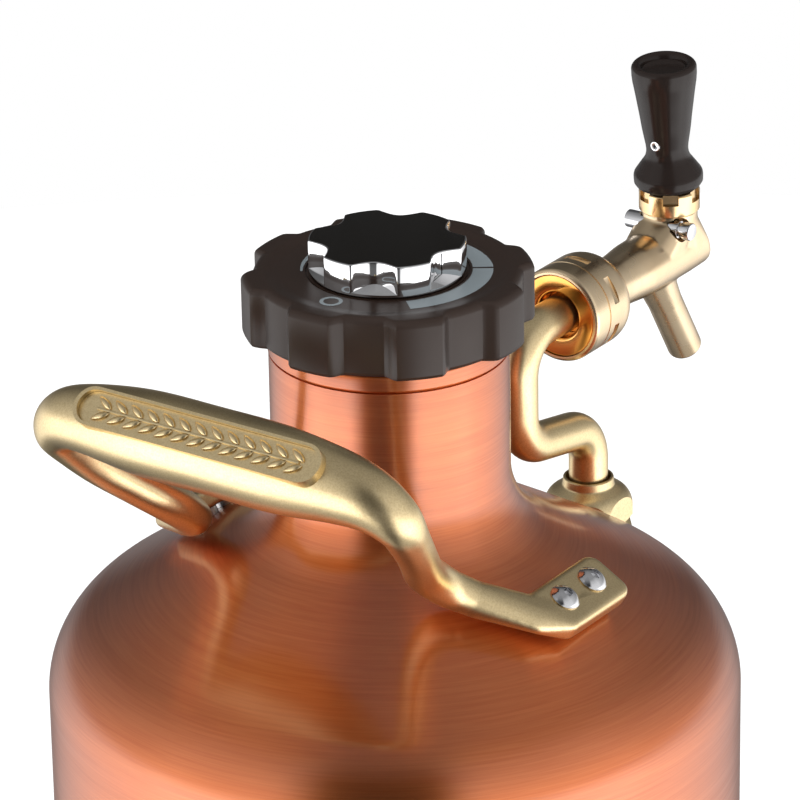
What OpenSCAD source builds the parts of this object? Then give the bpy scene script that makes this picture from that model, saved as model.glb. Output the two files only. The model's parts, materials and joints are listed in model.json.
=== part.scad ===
// Pressurised copper growler: double-wall vessel, carrying handle, screw cap
// with a built-in gas regulator, and a sight glass that feeds a small beer tap.
// Millimetres. +Z is up, the origin is the centre of the base on the table,
// the tap points along -Y and the carrying handle is on the +Y side.

/* [Vessel] */
// Outer radius of the body
body_r = 80; // [78:0.5:84]
// Height of the straight wall's top above the table
body_h = 232; // [200:1:260]
// Radius of the rounded shoulder edge
knuckle_r = 22; // [20:0.5:24]
// Slope of the conical shoulder in degrees
cone_a = 30.75; // [28:0.25:33]
// Radius of the fillet between shoulder and neck
fillet_r = 19; // [16:0.5:22]
// Outer radius of the neck
neck_r = 27.3; // [26:0.1:29]
// Sheet thickness of both walls
wall = 1.2; // [0.8:0.1:1.4]
// Distance from the outer surface to the inner vessel's outer surface
vacuum_gap = 8; // [7:0.5:9]
// Length of the straight neck above the fillet
neck_len = 28.4; // [24:0.2:32]

/* [Carrying handle] */
// Distance of the grip's centre line behind the vessel axis
grip_y = 66.5; // [64:0.5:70]
// Half height of the grip's section at its middle
grip_h = 9.9; // [8:0.1:11]
// Half depth of the grip's section at its middle
grip_d = 9; // [7:0.1:10]
// Spacing of the two screws in each foot
screw_gap = 11.1; // [10:0.1:12]

/* [Cap] */
// Radius over the lobes of the black cap
cap_r = 33.1; // [32:0.1:34]
// Height of the black cap
cap_h = 14.2; // [13:0.1:16]
// Radius over the lobes of the chrome dial
dial_r = 17.8; // [17:0.1:18.5]
// Height of the dial above the scale face
dial_h = 7.6; // [6:0.1:8]

/* [Gas supply] */
// Radius of the gas cartridge
cart_r = 9.1; // [9:0.1:9.4]
// Length of the gas cartridge
cart_len = 66; // [64:0.5:67]

/* [Tap] */
// Outer radius of the bent beer tube
tube_r = 4.75; // [4.5:0.05:5]
// Bend radius of the beer tube's centre line
bend_r = 10; // [9.5:0.1:11]
// Distance of the shoulder nut from the vessel axis
nut_y = 82.7; // [82:0.1:84]
// Distance of the tube's upright run from the vessel axis
run_y = 52.4; // [51:0.1:54]
// Distance of the tap handle from the vessel axis
tap_y = 119; // [117:0.5:121]
// Radius of the tap's barrel
barrel_r = 7.2; // [6.8:0.1:7.6]
// Height of the black tap handle
lever_h = 31.8; // [30:0.1:34]
// Backward lean of the closed tap handle, in degrees
lever_lean = 4.5; // [3:0.5:6]

/* [Sight glass] */
// Distance of the sight glass from the vessel axis
sight_y = 90; // [89:0.5:92]
// Outer radius of the sight glass
sight_r = 5; // [4.5:0.1:5.5]
// Radius of the pressure gauge's case
gauge_r = 20; // [18:0.5:22]

/* [Hidden] */
$fn = 96;
eps = 0.01;
// Gap between round pieces of one body, and between pieces that move
fit = 0.05;
run = 0.3;
// Running clearance of a shaft in its bore
shaft = 0.06;

// Shoulder geometry
knuckle_c = [body_r - knuckle_r, body_h];
cone_lo = knuckle_c + knuckle_r * [sin(cone_a), cos(cone_a)];
fillet_x = neck_r + fillet_r;
cone_hi_x = fillet_x - fillet_r * sin(cone_a);
cone_hi = [cone_hi_x, cone_lo[1] + (cone_lo[0] - cone_hi_x) * tan(cone_a)];
fillet_c = [fillet_x, cone_hi[1] + fillet_r * cos(cone_a)];
lip_z = fillet_c[1] + neck_len;
neck_top = lip_z + 4.8;
bore_r = 18.6;
base_z = 14;
floor_z = 22;

// Heights of the cap and the tap, measured from the neck's lip line
cap_z = neck_top + 0.3;
rim_z = cap_z + cap_h;
face_z = rim_z - 0.6;
tap_z = lip_z - 17;
run_z = lip_z - 47.7;
nut_z = lip_z - 63.5;
pocket_z = nut_z - 10.9;
pin_z = tap_z + 7.8;
pin_y = tap_y - 4.4;
pin_shift = 0.2;
seat_z = tap_z + 11;
ball_z = tap_z + 13.6;
lever_z = tap_z + 17.4;
foot_z = 34;

copper = "#c9784f";
brass = "#c9a765";
steel = "#b8bcc0";
black = "#2a2523";

// Points on an arc, from angle a0 to angle a1
function arc(c, r, a0, a1, n = 12) =
    [for (i = [0:n]) let (a = a0 + (a1 - a0) * i / n) c + r * [cos(a), sin(a)]];

// The vessel's outline, a distance d inside the outer surface, from the wall's foot to the neck
function outline(d, foot, top) = concat(
    [[body_r - d, foot]],
    arc(knuckle_c, knuckle_r - d, 0, 90 - cone_a),
    arc(fillet_c, fillet_r + d, 270 - cone_a, 180),
    [[neck_r - d, top]]);

// The height of the outer surface at a distance x from the axis, on the cone
function cone_z(x) = cone_lo[1] + (cone_lo[0] - x) * tan(cone_a);

function reversed(v) = [for (i = [len(v) - 1:-1:0]) v[i]];

// A solid of revolution with its axis along -Y, its profile given as [radius, distance from Z]
module turned_y(points) {
    rotate([90, 0, 0]) rotate_extrude() polygon(points);
}

module ring(ri, ro, h) {
    difference() {
        cylinder(r = ro, h = h);
        translate([0, 0, -1]) cylinder(r = ri, h = h + 2);
    }
}

// ---------------------------------------------------------------- vessel

module base_pad() color("#2b2b2b") {
    cylinder(r1 = 71, r2 = 72, h = 3);
    translate([0, 0, 3 - eps]) cylinder(r = 66, h = 1.2);
}

module base_cup() color(copper) rotate_extrude() polygon(concat(
    [[0, 4.3], [66.1, 4.3], [66.1, 3.1], [body_r - 5, 3.1]],
    arc([body_r - 5, 8.1], 5, -90, 0, 6),
    [[body_r, base_z], [body_r - wall - fit, base_z], [body_r - wall - fit, base_z + 5],
     [body_r - 2.6, base_z + 5], [body_r - 2.6, 8.1]],
    arc([body_r - 6, 8.6], 2.8, 0, -90, 6),
    [[0, 5.8]]));

module outer_shell() color(copper) difference() {
    rotate_extrude() polygon(concat(
        outline(0, base_z, lip_z - fit),
        reversed(outline(wall, base_z, lip_z - fit))));
    // the pocket behind the shoulder nut
    translate([0, -nut_y, pocket_z - 1.1]) cylinder(r = 12.5 + fit, h = 60);
}

// The wall and floor of the pocket that the shoulder nut stands in
module fitting_pocket() color(copper) intersection() {
    translate([0, -nut_y, pocket_z - 1]) difference() {
        cylinder(r = 12.5, h = 60);
        translate([0, 0, 1]) cylinder(r = 11.5, h = 60);
    }
    rotate_extrude() polygon(concat([[0, base_z]], outline(0, base_z, lip_z), [[0, lip_z]]));
}

module inner_vessel() color(steel) rotate_extrude() polygon(concat(
    [[0, floor_z]],
    arc([body_r - vacuum_gap - 12, floor_z + 12], 12, -90, 0, 6),
    outline(vacuum_gap, floor_z + 13, lip_z - 12),
    reversed(outline(vacuum_gap + wall, floor_z + 13, lip_z - 12)),
    reversed(arc([body_r - vacuum_gap - 12, floor_z + 12], 12 - wall, -90, 0, 6)),
    [[0, floor_z + wall]]));

// The pinch-off plug that seals the vacuum, inside the base
module vacuum_plug() color(steel) {
    translate([0, 0, 5.8]) cylinder(r = 9, h = 2);
    translate([0, 0, 7.8 - eps]) cylinder(r = 4, h = 6);
}

// The threaded ring that joins both walls at the mouth
module neck_ring() color(copper) difference() {
    union() {
        translate([0, 0, lip_z]) rotate_extrude() polygon([[0, 0], [neck_r - 0.5, 0],
            [neck_r + 0.2, 0.7], [neck_r + 0.2, 4], [neck_r - 0.6, 4.8], [0, 4.8]]);
        translate([0, 0, lip_z - 12]) cylinder(r = neck_r - wall - fit, h = 12.1);
    }
    translate([0, 0, lip_z - 20]) cylinder(r = bore_r, h = 40);
    for (i = [0:4])
        translate([0, 0, lip_z - 9 + i * 2.5]) rotate_extrude() polygon(
            [[bore_r - 1, -0.4], [bore_r, -0.7], [bore_r + 0.9, 0], [bore_r, 0.7], [bore_r - 1, 0.4]]);
}

// ---------------------------------------------------------------- carrying handle

// Centre line of one half of the handle, from its middle to the foot: x, y, height above the lip
half_path = [[0, grip_y, -0.8], [18, grip_y, -0.9], [33, grip_y - 0.7, -1.6], [41, grip_y - 1.3, -3.4],
    [45.8, grip_y - 3.4, -7.8], [45.2, grip_y - 8, -13.6], [43, grip_y - 14, -20],
    [39.4, grip_y - 20.8, -26.1], [36.2, grip_y - 26.8, -31.2], [34.8, grip_y - 32.4, -35.6],
    [35.6, grip_y - 37.6, -39.8], [39.2, grip_y - 41.9, -43], [44, grip_y - 45.2, -45.7],
    [48, grip_y - 48.5, -48]];
// Half height and half depth of the section at each of those points
half_size = [[grip_h, grip_d], [grip_h - 0.1, grip_d], [grip_h - 1.8, grip_d - 1], [7, 6.6],
    [5.7, 5.4], [4.9, 4.8], [4.5, 4.5], [4.4, 4.5], [4.5, 4.6], [4.6, 4.6], [4.4, 4.6], [4, 4.7],
    [3.4, 4.6], [2.4, 3.4]];

function mirrored(v, s) = concat([for (i = [len(v) - 1:-1:1]) [s * v[i][0], v[i][1], v[i][2]]], v);
path_pts = [for (p = mirrored(half_path, -1)) p + [0, 0, lip_z]];
path_size = concat(reversed([for (i = [1:len(half_size) - 1]) half_size[i]]), half_size);

// A smooth curve through a list of points, k steps to each span
function spline(v, k) = concat([for (i = [0:len(v) - 2]) for (j = [0:k - 1])
    let (a = v[max(i - 1, 0)], b = v[i], c = v[i + 1], d = v[min(i + 2, len(v) - 1)], t = j / k)
    0.5 * (2 * b + (c - a) * t + (2 * a - 5 * b + 4 * c - d) * t * t
        + (3 * b - a - 3 * c + d) * t * t * t)], [v[len(v) - 1]]);
function unit(v) = v / norm(v);

bar_sides = 20;
bar_pts = spline(path_pts, 3);
bar_size = spline(path_size, 3);
bar_n = len(bar_pts);
function bar_dir(i) = unit(bar_pts[min(i + 1, bar_n - 1)] - bar_pts[max(i - 1, 0)]);
// The section's depth lies level and its height stands across it
function bar_ring(i) = let (t = bar_dir(i), o = unit(cross(t, [0, 0, 1])), u = cross(o, t))
    [for (k = [0:bar_sides - 1]) let (a = 360 * k / bar_sides)
        bar_pts[i] + o * cos(a) * bar_size[i][1] + u * sin(a) * bar_size[i][0]];

module handle_bar() {
    polyhedron(
        points = [for (i = [0:bar_n - 1]) each bar_ring(i)],
        faces = concat(
            [[for (k = [bar_sides - 1:-1:0]) k]],
            [for (i = [0:bar_n - 2]) for (k = [0:bar_sides - 1])
                let (a = i * bar_sides, n = (k + 1) % bar_sides)
                each [[a + k, a + n, a + bar_sides + n], [a + k, a + bar_sides + n, a + bar_sides + k]]],
            [[for (k = [0:bar_sides - 1]) (bar_n - 1) * bar_sides + k]]),
        convexity = 8);
}

// Places a foot's own frame, with its Z square to the shoulder, at the middle of its two screws
foot_x = 48.7;
foot_y = 2;
plate_t = 5;
plate_gap = 1.6;
module at_foot(side) {
    translate([side * foot_x, foot_y, cone_z(foot_x)]) rotate([0, side * cone_a, 0]) children();
}
module at_screws() {
    for (side = [-1, 1])
        at_foot(side) for (s = [-1, 1]) translate([0, s * screw_gap / 2, 0]) children();
}

// The rounds of the plate's corners: outward from the vessel's axis, along Y, radius
plate_corners = [[4.4, -10.4, 3], [-2.4, -9.7, 3.5], [-2.8, 11.6, 3], [1.4, 6.8, 6]];

// One layer of the foot plate, inset at its lower and upper face, a height above the shoulder
module plate_layer(side, z, h, low, high) {
    hull() for (c = plate_corners) {
        translate([side * c[0], c[1], z]) cylinder(r = c[2] - low, h = eps, $fn = 24);
        translate([side * c[0], c[1], z + h - eps]) cylinder(r = c[2] - high, h = eps, $fn = 24);
    }
}
module foot_plate(side) {
    plate_layer(side, plate_gap, 1, 0.6, 0);
    plate_layer(side, plate_gap + 1 - eps, plate_t - 2 + eps, 0, 0);
    plate_layer(side, plate_gap + plate_t - 1 - eps, 1 + eps, 0, 0.7);
}

// The bar's end turns down and widens into the plate's near end
module foot_blend(side) {
    hull() {
        at_foot(side) {
            translate([side * 2.4, 7.8, plate_gap + 0.4]) cylinder(r = 4.9, h = plate_t - 1, $fn = 24);
            translate([-side * 0.5, 14.2, plate_gap + 2.6]) scale([1, 1, 0.6]) sphere(r = 4.6, $fn = 24);
        }
        translate([side * 41.6, grip_y - 43.6, lip_z - 44.3]) sphere(r = 4.2, $fn = 24);
    }
}

// The space of the body and shoulder, grown by d
module body_space(d) {
    rotate_extrude() polygon(concat([[0, base_z]], outline(-d, base_z, lip_z - 30), [[0, lip_z - 30]]));
}

module handle() color(brass) difference() {
    union() {
        handle_bar();
        for (side = [-1, 1]) {
            at_foot(side) foot_plate(side);
            foot_blend(side);
        }
        // the rim round the ornament, on the upper back of the grip
        at_badge() translate([0, 0, -3]) badge(4.5, 3.4);
    }
    at_badge() translate([0, 0, -1.2]) badge(3.9, 8);
    at_screws() {
        cylinder(r = 2.2, h = 14, $fn = 32);
        translate([0, 0, -2]) cylinder(r = 4.6, h = plate_gap + 2, $fn = 32);
        translate([0, 0, plate_gap + plate_t]) cylinder(r = 3.8, h = 5, $fn = 32);
    }
    body_space(0.4);
}

badge_a = 45;
module at_badge() {
    translate([0, grip_y, lip_z - 0.8]) rotate([-badge_a, 0, 0]) translate([0, 0, 9]) children();
}

module badge(r, h) {
    hull() for (x = [-1, 1]) translate([x * 27.9, 0, 0]) cylinder(r = r, h = h, $fn = 32);
}

// A row of barley grains on a stem, in the grip's recess
module handle_ornament() color(brass) at_badge() {
    translate([0, 0, -1.15]) badge(3.7, 0.6);
    translate([-28, -0.35, -0.6]) cube([56, 0.7, 0.7]);
    for (i = [0:12], s = [-1, 1])
        translate([-26.5 + i * 4.3, s * 1.7, -0.6]) rotate([0, 0, s * 32]) hull() {
            translate([-1.2, 0, 0]) cylinder(r1 = 0.6, r2 = 0.2, h = 0.7, $fn = 8);
            translate([0.9, 0, 0]) cylinder(r1 = 0.9, r2 = 0.4, h = 0.9, $fn = 8);
        }
}

// Threaded bosses welded to the shoulder under each screw
module handle_bosses() color(steel) difference() {
    at_screws() translate([0, 0, -1]) cylinder(r = 4.2, h = 2.5);
    at_screws() cylinder(r = 1.6, h = 9, center = true);
    body_space(fit);
}

module handle_screws() color("#d8dadd") at_screws() difference() {
    union() {
        translate([0, 0, 0.6]) cylinder(r = 1.5, h = plate_t + 1.2);
        translate([0, 0, plate_t + 1.6]) rotate_extrude() polygon(concat([[0, 0], [3.4, 0], [3.5, 0.3]],
            arc([0, -2.3], 4.35, 37, 90, 8)));
    }
    translate([0, 0, plate_t + 2.6]) cylinder(r = 1.15, h = 3, $fn = 6);
}

// ---------------------------------------------------------------- sight glass and gauge

glass_lo = foot_z + 14;
glass_hi = pocket_z - 16;
// The fittings' screws: distance from the middle, height
screw_spots = [[8.6, glass_hi + 3.5], [7, foot_z - 10.5]];
module at_spots(list) {
    for (s = [-1, 1], p = list)
        translate([s * p[0], -sight_y - 3, p[1]]) rotate([90, 0, 0]) children();
}
module screw_holes(list) {
    at_spots(list) {
        translate([0, 0, -20]) cylinder(r = 1.3, h = 30);
        cylinder(r = 2.3, h = 7);
        translate([0, 0, -20]) cylinder(r = 2.6, h = 12);
    }
}

// A saddle that lies on the body's front, with a slot of the given height
module saddle(lo, hi, w) {
    difference() {
        translate([-w / 2, -sight_y - 3, lo]) cube([w, 20, hi - lo]);
        translate([0, 0, lo - 1]) cylinder(r = body_r + fit, h = hi - lo + 2, $fn = 180);
    }
}

module upper_fitting() color(brass) difference() {
    union() {
        translate([0, -nut_y, pocket_z]) cylinder(r = 6.6, h = 4);
        hull() {
            translate([0, -sight_y, glass_hi]) cylinder(r = 8, h = 5, $fn = 32);
            translate([0, -sight_y, glass_hi + 13]) cylinder(r = 5.4, h = 1, $fn = 32);
            translate([0, -nut_y - 1.5, pocket_z - 2.2]) cylinder(r = 9, h = 2.2, $fn = 32);
        }
        saddle(glass_hi, glass_hi + 7, 22);
    }
    difference() {
        translate([0, 0, 100]) cylinder(r = body_r + fit, h = 200, $fn = 180);
        translate([0, -nut_y, pocket_z]) cylinder(r = 11.4, h = 30);
    }
    // passages: up from the glass, then across to the nut
    translate([0, -sight_y, glass_hi - 3]) cylinder(r = sight_r + 0.2, h = 10);
    translate([0, -sight_y, glass_hi - 3]) cylinder(r = sight_r + 1.6, h = 5);
    translate([0, -sight_y, glass_hi + 6.9]) cylinder(r = 3, h = 4);
    hull() {
        translate([0, -sight_y, glass_hi + 10]) sphere(r = 3, $fn = 24);
        translate([0, -nut_y, pocket_z - 4]) sphere(r = 3, $fn = 24);
    }
    translate([0, -nut_y, pocket_z - 4]) cylinder(r = 3.2, h = 12);
    screw_holes([screw_spots[0]]);
}

module shoulder_nut() color(brass) translate([0, -nut_y, pocket_z + 0.2]) difference() {
    intersection() {
        rotate([0, 0, 30]) cylinder(r = 10.9, h = 11, $fn = 6);
        rotate_extrude() polygon(concat([[0, 0], [9.6, 0], [10.7, 0.8], [10.7, 3.4]],
            arc([5.9, 3.4], 4.8, 0, 62, 8), [[6.3, 8.6], [6.1, 10.7], [0, 10.7]]));
    }
    translate([0, 0, -1]) cylinder(r = 7, h = 7.9);
    translate([0, 0, -1]) cylinder(r = 5.5, h = 14);
}

module lower_fitting() color(brass) difference() {
    union() {
        hull() {
            translate([0, -sight_y, foot_z - 8]) cylinder(r = 8.5, h = 24, $fn = 32);
            translate([0, -sight_y + 6, foot_z - 8]) cylinder(r = 8.5, h = 24, $fn = 32);
        }
        saddle(foot_z - 14, foot_z + 16, 20);
        translate([0, -sight_y, foot_z]) rotate([90, 0, 0]) cylinder(r = 7, h = 12);
    }
    cylinder(r = body_r + fit, h = 200, $fn = 180);
    translate([0, -sight_y, foot_z]) cylinder(r = 3, h = 20);
    translate([0, -sight_y, glass_lo - 6]) cylinder(r = sight_r + 0.2, h = 20);
    translate([0, -sight_y, glass_lo]) cylinder(r = sight_r + 1.6, h = 5);
    translate([0, -body_r + 5, foot_z]) rotate([90, 0, 0]) cylinder(r = 3, h = 22);
    translate([0, -sight_y - 2, foot_z]) rotate([90, 0, 0]) cylinder(r = 1.5, h = 12);
    translate([0, -sight_y - 6, foot_z]) rotate([90, 0, 0]) cylinder(r = 3.6, h = 7);
    screw_holes([screw_spots[1]]);
}

// Threaded bosses welded to the wall behind the two fittings
module fitting_bosses() color(steel) difference() {
    at_spots(screw_spots) translate([0, 0, -14]) cylinder(r = 2.5, h = 5.9);
    at_spots(screw_spots) translate([0, 0, -15]) cylinder(r = 1.3, h = 10);
    cylinder(r = body_r + fit, h = 300, $fn = 180);
}

module fitting_screws() color("#d8dadd") at_spots(screw_spots) difference() {
    union() {
        translate([0, 0, -12.6]) cylinder(r = 1.2, h = 12.7);
        cylinder(r = 2.1, h = 1.5);
    }
    translate([0, 0, 0.6]) cylinder(r = 1, h = 2, $fn = 6);
}

module sight_glass() color([0.85, 0.92, 0.95, 0.4]) translate([0, -sight_y, glass_lo - 5.8])
    ring(sight_r - 1.5, sight_r, glass_hi - glass_lo + 12);

module sight_seals() color(black)
    for (z = [glass_lo + 0.1, glass_hi + 0.1])
        translate([0, -sight_y, z]) ring(sight_r + fit, sight_r + 1.5, 1.8);

// A brass channel round the glass, with a window at the front
module sight_guard() color(brass) translate([0, -sight_y, glass_lo + 2.1]) difference() {
    ring(7, 8.4, glass_hi - glass_lo - 2.2);
    translate([-3.2, -10, 8]) cube([6.4, 10, glass_hi - glass_lo - 18]);
    for (z = [8, glass_hi - glass_lo - 10]) translate([0, 0, z]) rotate([90, 0, 0])
        cylinder(r = 3.2, h = 10);
}

// Distances of the gauge's layers from the vessel axis
gauge_y = sight_y + 13.2;

module gauge_case() color(brass) difference() {
    translate([0, 0, foot_z]) turned_y([[1.4, gauge_y - 7], [3.5, gauge_y - 7], [3.5, gauge_y],
        [6, gauge_y], [gauge_r - 2, gauge_y], [gauge_r - 0.4, gauge_y + 1.6],
        [gauge_r - 0.4, gauge_y + 10], [gauge_r - 1.8, gauge_y + 10], [gauge_r - 1.8, gauge_y + 1.8],
        [1.4, gauge_y + 1.8]]);
}

// The bent pressure tube and the movement that carries the needle
module gauge_tube() color(brass) translate([0, -gauge_y - 4, foot_z]) rotate([90, 0, 0]) {
    rotate([0, 0, -90]) rotate_extrude(angle = 290) translate([13, 0]) scale([0.6, 1]) circle(r = 1.6);
    translate([0, 0, -2.2]) difference() {
        union() {
            cylinder(r = 4, h = 4);
            translate([-2, -14, 0]) cube([4, 14, 2]);
        }
        translate([0, 0, -1]) cylinder(r = 0.8 + shaft, h = 6);
    }
}

module gauge_dial() color("#f2efe6") translate([0, -gauge_y - 7.4, foot_z]) rotate([90, 0, 0])
    ring(1.3, gauge_r - 1.9, 0.5);

module gauge_needle() color(black) translate([0, -gauge_y, foot_z]) rotate([90, 0, 0]) {
    translate([0, 0, 2.4]) cylinder(r = 0.8, h = 6.3);
    translate([0, 0, 8.2]) {
        cylinder(r = 2, h = 0.7);
        rotate([0, 0, 225]) linear_extrude(0.5) polygon([[-5, -0.9], [13, -0.25], [13, 0.25], [-5, 0.9]]);
    }
}

module gauge_lens() color([0.9, 0.95, 0.97, 0.3]) translate([0, -gauge_y - 10.05, foot_z])
    rotate([90, 0, 0]) cylinder(r = gauge_r - 0.45, h = 1.4);

module gauge_bezel() color(brass) translate([0, 0, foot_z]) turned_y([
    [gauge_r - 0.35, gauge_y + 2.2], [gauge_r + 0.6, gauge_y + 2.2], [gauge_r + 1, gauge_y + 3],
    [gauge_r + 1, gauge_y + 10.8], [gauge_r + 0.2, gauge_y + 12.2], [gauge_r - 2.2, gauge_y + 12.8],
    [gauge_r - 2.6, gauge_y + 11.5], [gauge_r - 0.35, gauge_y + 11.5]]);

// ---------------------------------------------------------------- beer tube

// A straight length between two points of the plane through the tap, given as [y, z]
module straight(a, b, r) {
    d = b - a;
    translate([0, a[0], a[1]]) rotate([atan2(-d[0], d[1]), 0, 0]) cylinder(r = r, h = norm(d));
}
module elbow(c, start, r) {
    translate([0, c[0], c[1]]) rotate([90, 0, 90]) rotate([0, 0, start])
        rotate_extrude(angle = 90) translate([bend_r, 0]) circle(r = r);
}

tube_end = 74.2;
module tube_bends(r, over) {
    straight([-nut_y, pocket_z + 5.4 - over], [-nut_y, run_z - bend_r], r);
    elbow([-nut_y + bend_r, run_z - bend_r], 90, r);
    straight([-nut_y + bend_r, run_z], [-run_y - bend_r, run_z], r);
    elbow([-run_y - bend_r, run_z + bend_r], 270, r);
    straight([-run_y, run_z + bend_r], [-run_y, tap_z - bend_r], r);
    elbow([-run_y - bend_r, tap_z - bend_r], 0, r);
    straight([-run_y - bend_r, tap_z], [-tube_end - 2 - over, tap_z], r);
}

module beer_tube() color(brass) difference() {
    tube_bends(tube_r, 0);
    tube_bends(tube_r - 1.25, 1);
}

// The flanges brazed to the ends of the tube
module tube_collars() color(brass) {
    translate([0, -nut_y, pocket_z + 5.4]) ring(tube_r + fit, tube_r + 1.3, 1.4);
    translate([0, -tube_end, tap_z]) rotate([90, 0, 0]) ring(tube_r + fit, 9.6, 2);
}

module tube_seals() color(black) {
    translate([0, -nut_y, pocket_z + 4.1]) ring(tube_r - 1.1, tube_r + 1.2, 1.2);
    translate([0, -tube_end - 2.05, tap_z]) rotate([90, 0, 0]) ring(3.6, 9.4, 1.5);
}

// ---------------------------------------------------------------- tap

nut_rear = 69.1;
nut_front = 88;
module coupling_nut() color(brass) difference() {
    translate([0, 0, tap_z]) turned_y(concat(
        [[6.75, nut_front], [6.75, nut_front - 7.3], [10.3, nut_front - 7.3], [10.3, nut_rear],
         [10.9, nut_rear], [11.6, nut_rear + 0.9]],
        [for (p = arc([nut_front - 6.5, 6.1], 5.5, 90, 8, 10)) [p[1], p[0]]]));
    for (k = [0:5]) translate([0, -nut_front + 10, tap_z]) rotate([0, 60 * k, 0])
        translate([-3.4, -1, 10.9]) cube([6.8, 2, 3]);
}

// The screwed ring that closes the nut behind the tube's flange
module coupling_ring() color("#d08a3c") translate([0, -nut_rear - 0.3, tap_z]) rotate([90, 0, 0])
    ring(5.7, 10.2, 4.6);

nose_lean = 16.7;
spout_a = 31.6;
spout_top = [-110.4, tap_z - 2];
spout_dir = [-sin(spout_a), -cos(spout_a)];
spout_len = 31;

// The slanted flat at the end of the barrel, which leans back towards the lever
module nose_disc() {
    translate([0, -126.75, tap_z]) rotate([90 - nose_lean, 0, 0])
        translate([0, 0, -0.5]) cylinder(r = barrel_r, h = 0.5, $fn = 32);
}

module tap_body() color(brass) difference() {
    union() {
        translate([0, 0, tap_z]) turned_y([[0, 77.8], [9.5, 77.8], [9.5, 80.6], [6.3, 80.8],
            [6.3, 93], [6.6, 97], [7.1, 102], [barrel_r, 106], [barrel_r, 122], [0, 122]]);
        translate([0, -tap_y, tap_z]) cylinder(r = 6.9, h = seat_z - tap_z);
        hull() {
            translate([0, -tap_y, seat_z - 3]) cylinder(r = 6.9, h = 1, $fn = 32);
            translate([0, -121, tap_z]) rotate([90, 0, 0]) cylinder(r = barrel_r, h = 1, $fn = 32);
            nose_disc();
        }
        hull() {
            translate([0, -tap_y, seat_z - 2]) cylinder(r = 6.9, h = 1, $fn = 32);
            translate([0, -107.5, tap_z]) rotate([90, 0, 0]) cylinder(r = 6.9, h = 6, $fn = 32);
        }
        straight(spout_top, spout_top + 16 * spout_dir, 4.7);
        straight(spout_top, spout_top + spout_len * spout_dir, 4.25);
    }
    // beer way: the shank, the valve seat, the chamber and the spout
    translate([0, -77, tap_z]) rotate([90, 0, 0]) cylinder(r = 4.8, h = 23.6);
    translate([0, -100, tap_z]) rotate([90, 0, 0]) cylinder(r = 3.4, h = 8);
    translate([0, -102.6, tap_z]) rotate([90, 0, 0]) cylinder(r = 4.2, h = 22.4);
    straight(spout_top, spout_top + (spout_len + 1) * spout_dir, 3.1);
    translate([0, -tap_y, tap_z]) cylinder(r = 4.4, h = 20);
    translate([-1.6, -tap_y, tap_z]) cube([3.2, 6.2, 8.4]);
    // the lock pin's bore, with a counterbore at each mouth
    translate([-12, -pin_y, pin_z]) rotate([0, 90, 0]) cylinder(r = 2.2 + shaft, h = 24);
    for (s = [-1, 1]) translate([s * 6.6, -pin_y, pin_z]) rotate([0, 90, 0])
        cylinder(r = 2.9, h = 4.2, center = true);
}

// The notched ring nut that holds the lever's ball
module tap_bonnet() color(brass) translate([0, -tap_y, seat_z]) difference() {
    rotate_extrude() polygon([[3.6, 0], [7.4, 0], [7.4, 4.9], [7, 5.4], [2.9, 5.4], [2.9, 4.9],
        [3.6, 4.2]]);
    for (k = [0:5]) rotate([0, 0, 60 * k + 5]) translate([6.5, -1.9, 2.9]) cube([2, 3.8, 3]);
    // the slots that hold the lever's cross pin
    translate([-pivot_half - 0.4, -pivot_r - 0.4, -1])
        cube([2 * pivot_half + 0.8, 2 * pivot_r + 0.8, ball_z - seat_z + pivot_r + 1.4]);
}

pivot_r = 1.2;
pivot_half = 4.6;
module lever_seal() color(black) translate([0, -tap_y, seat_z - 1.1]) ring(3.4, 4.35, 1);

// The closed lever's frame: its origin is the ball's centre, and its Z runs up the handle
module at_lever() {
    translate([0, -tap_y, ball_z]) rotate([-lever_lean, 0, 0]) children();
}
grip_lo = lever_z - ball_z;
screw_up = 11.8;

module tap_lever() color(steel) {
    at_lever() {
        sphere(r = 3.3, $fn = 48);
        rotate([0, 90, 0]) cylinder(r = pivot_r, h = 2 * pivot_half, center = true);
        cylinder(r = 1.4, h = 12);
    }
    translate([0, -tap_y, tap_z]) cylinder(r = 1.2, h = ball_z - tap_z);
    translate([0, -tap_y, tap_z]) sphere(r = 1.9, $fn = 32);
}

module tap_handle() color(black) at_lever() translate([0, 0, grip_lo]) difference() {
    rotate_extrude() polygon(concat(
        [[0, 2.4], [5.6, 2.4], [7.3, 0], [7.9, 0.2], [8.35, 0.9], [8.35, 2.8], [7.6, 4.1], [6.5, 5.7],
         [5.5, 7.2], [5.1, 8.8], [5.15, 10.3], [5.4, 11.9], [5.9, 14.9], [6.3, 18], [6.75, 21.1],
         [7.2, 24.2], [7.7, 27.3], [7.85, 28.9]],
        arc([6.6, lever_h - 1.3], 1.3, 20, 90, 5),
        [[5.9, lever_h - 0.2], [5.3, lever_h - 0.9], [0, lever_h - 1.1]]));
    translate([0, 0, -1]) cylinder(r = 1.4 + fit, h = 13);
    translate([0, 4.2, screw_up]) rotate([-90, 0, 0]) cylinder(r = 1.35, h = 4);
}

// The set screw in the handle's waist
module handle_ring() color("#d8dadd") at_lever()
    translate([0, 4.2, grip_lo + screw_up]) rotate([-90, 0, 0]) difference() {
        cylinder(r = 1.3, h = 1.3);
        translate([0, 0, 0.5]) cylinder(r = 0.7, h = 2, $fn = 6);
    }

module plunger() color(steel) translate([0, 0, tap_z]) difference() {
    union() {
        translate([0, -97.4, 0]) rotate([90, 0, 0]) cylinder(r = 1.8, h = 20);
        translate([0, -tap_y + 4.2, 0]) rotate([90, 0, 0]) cylinder(r = 3.6, h = 8.4);
        translate([0, -94.4, 0]) rotate([90, 0, 0]) cylinder(r = 3.4, h = 1);
        translate([0, -94.4, 0]) rotate([90, 0, 0]) cylinder(r = 1.8, h = 5);
    }
    translate([-2.3, -tap_y - 3, -4]) cube([4.6, 6, 8]);
}

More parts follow.
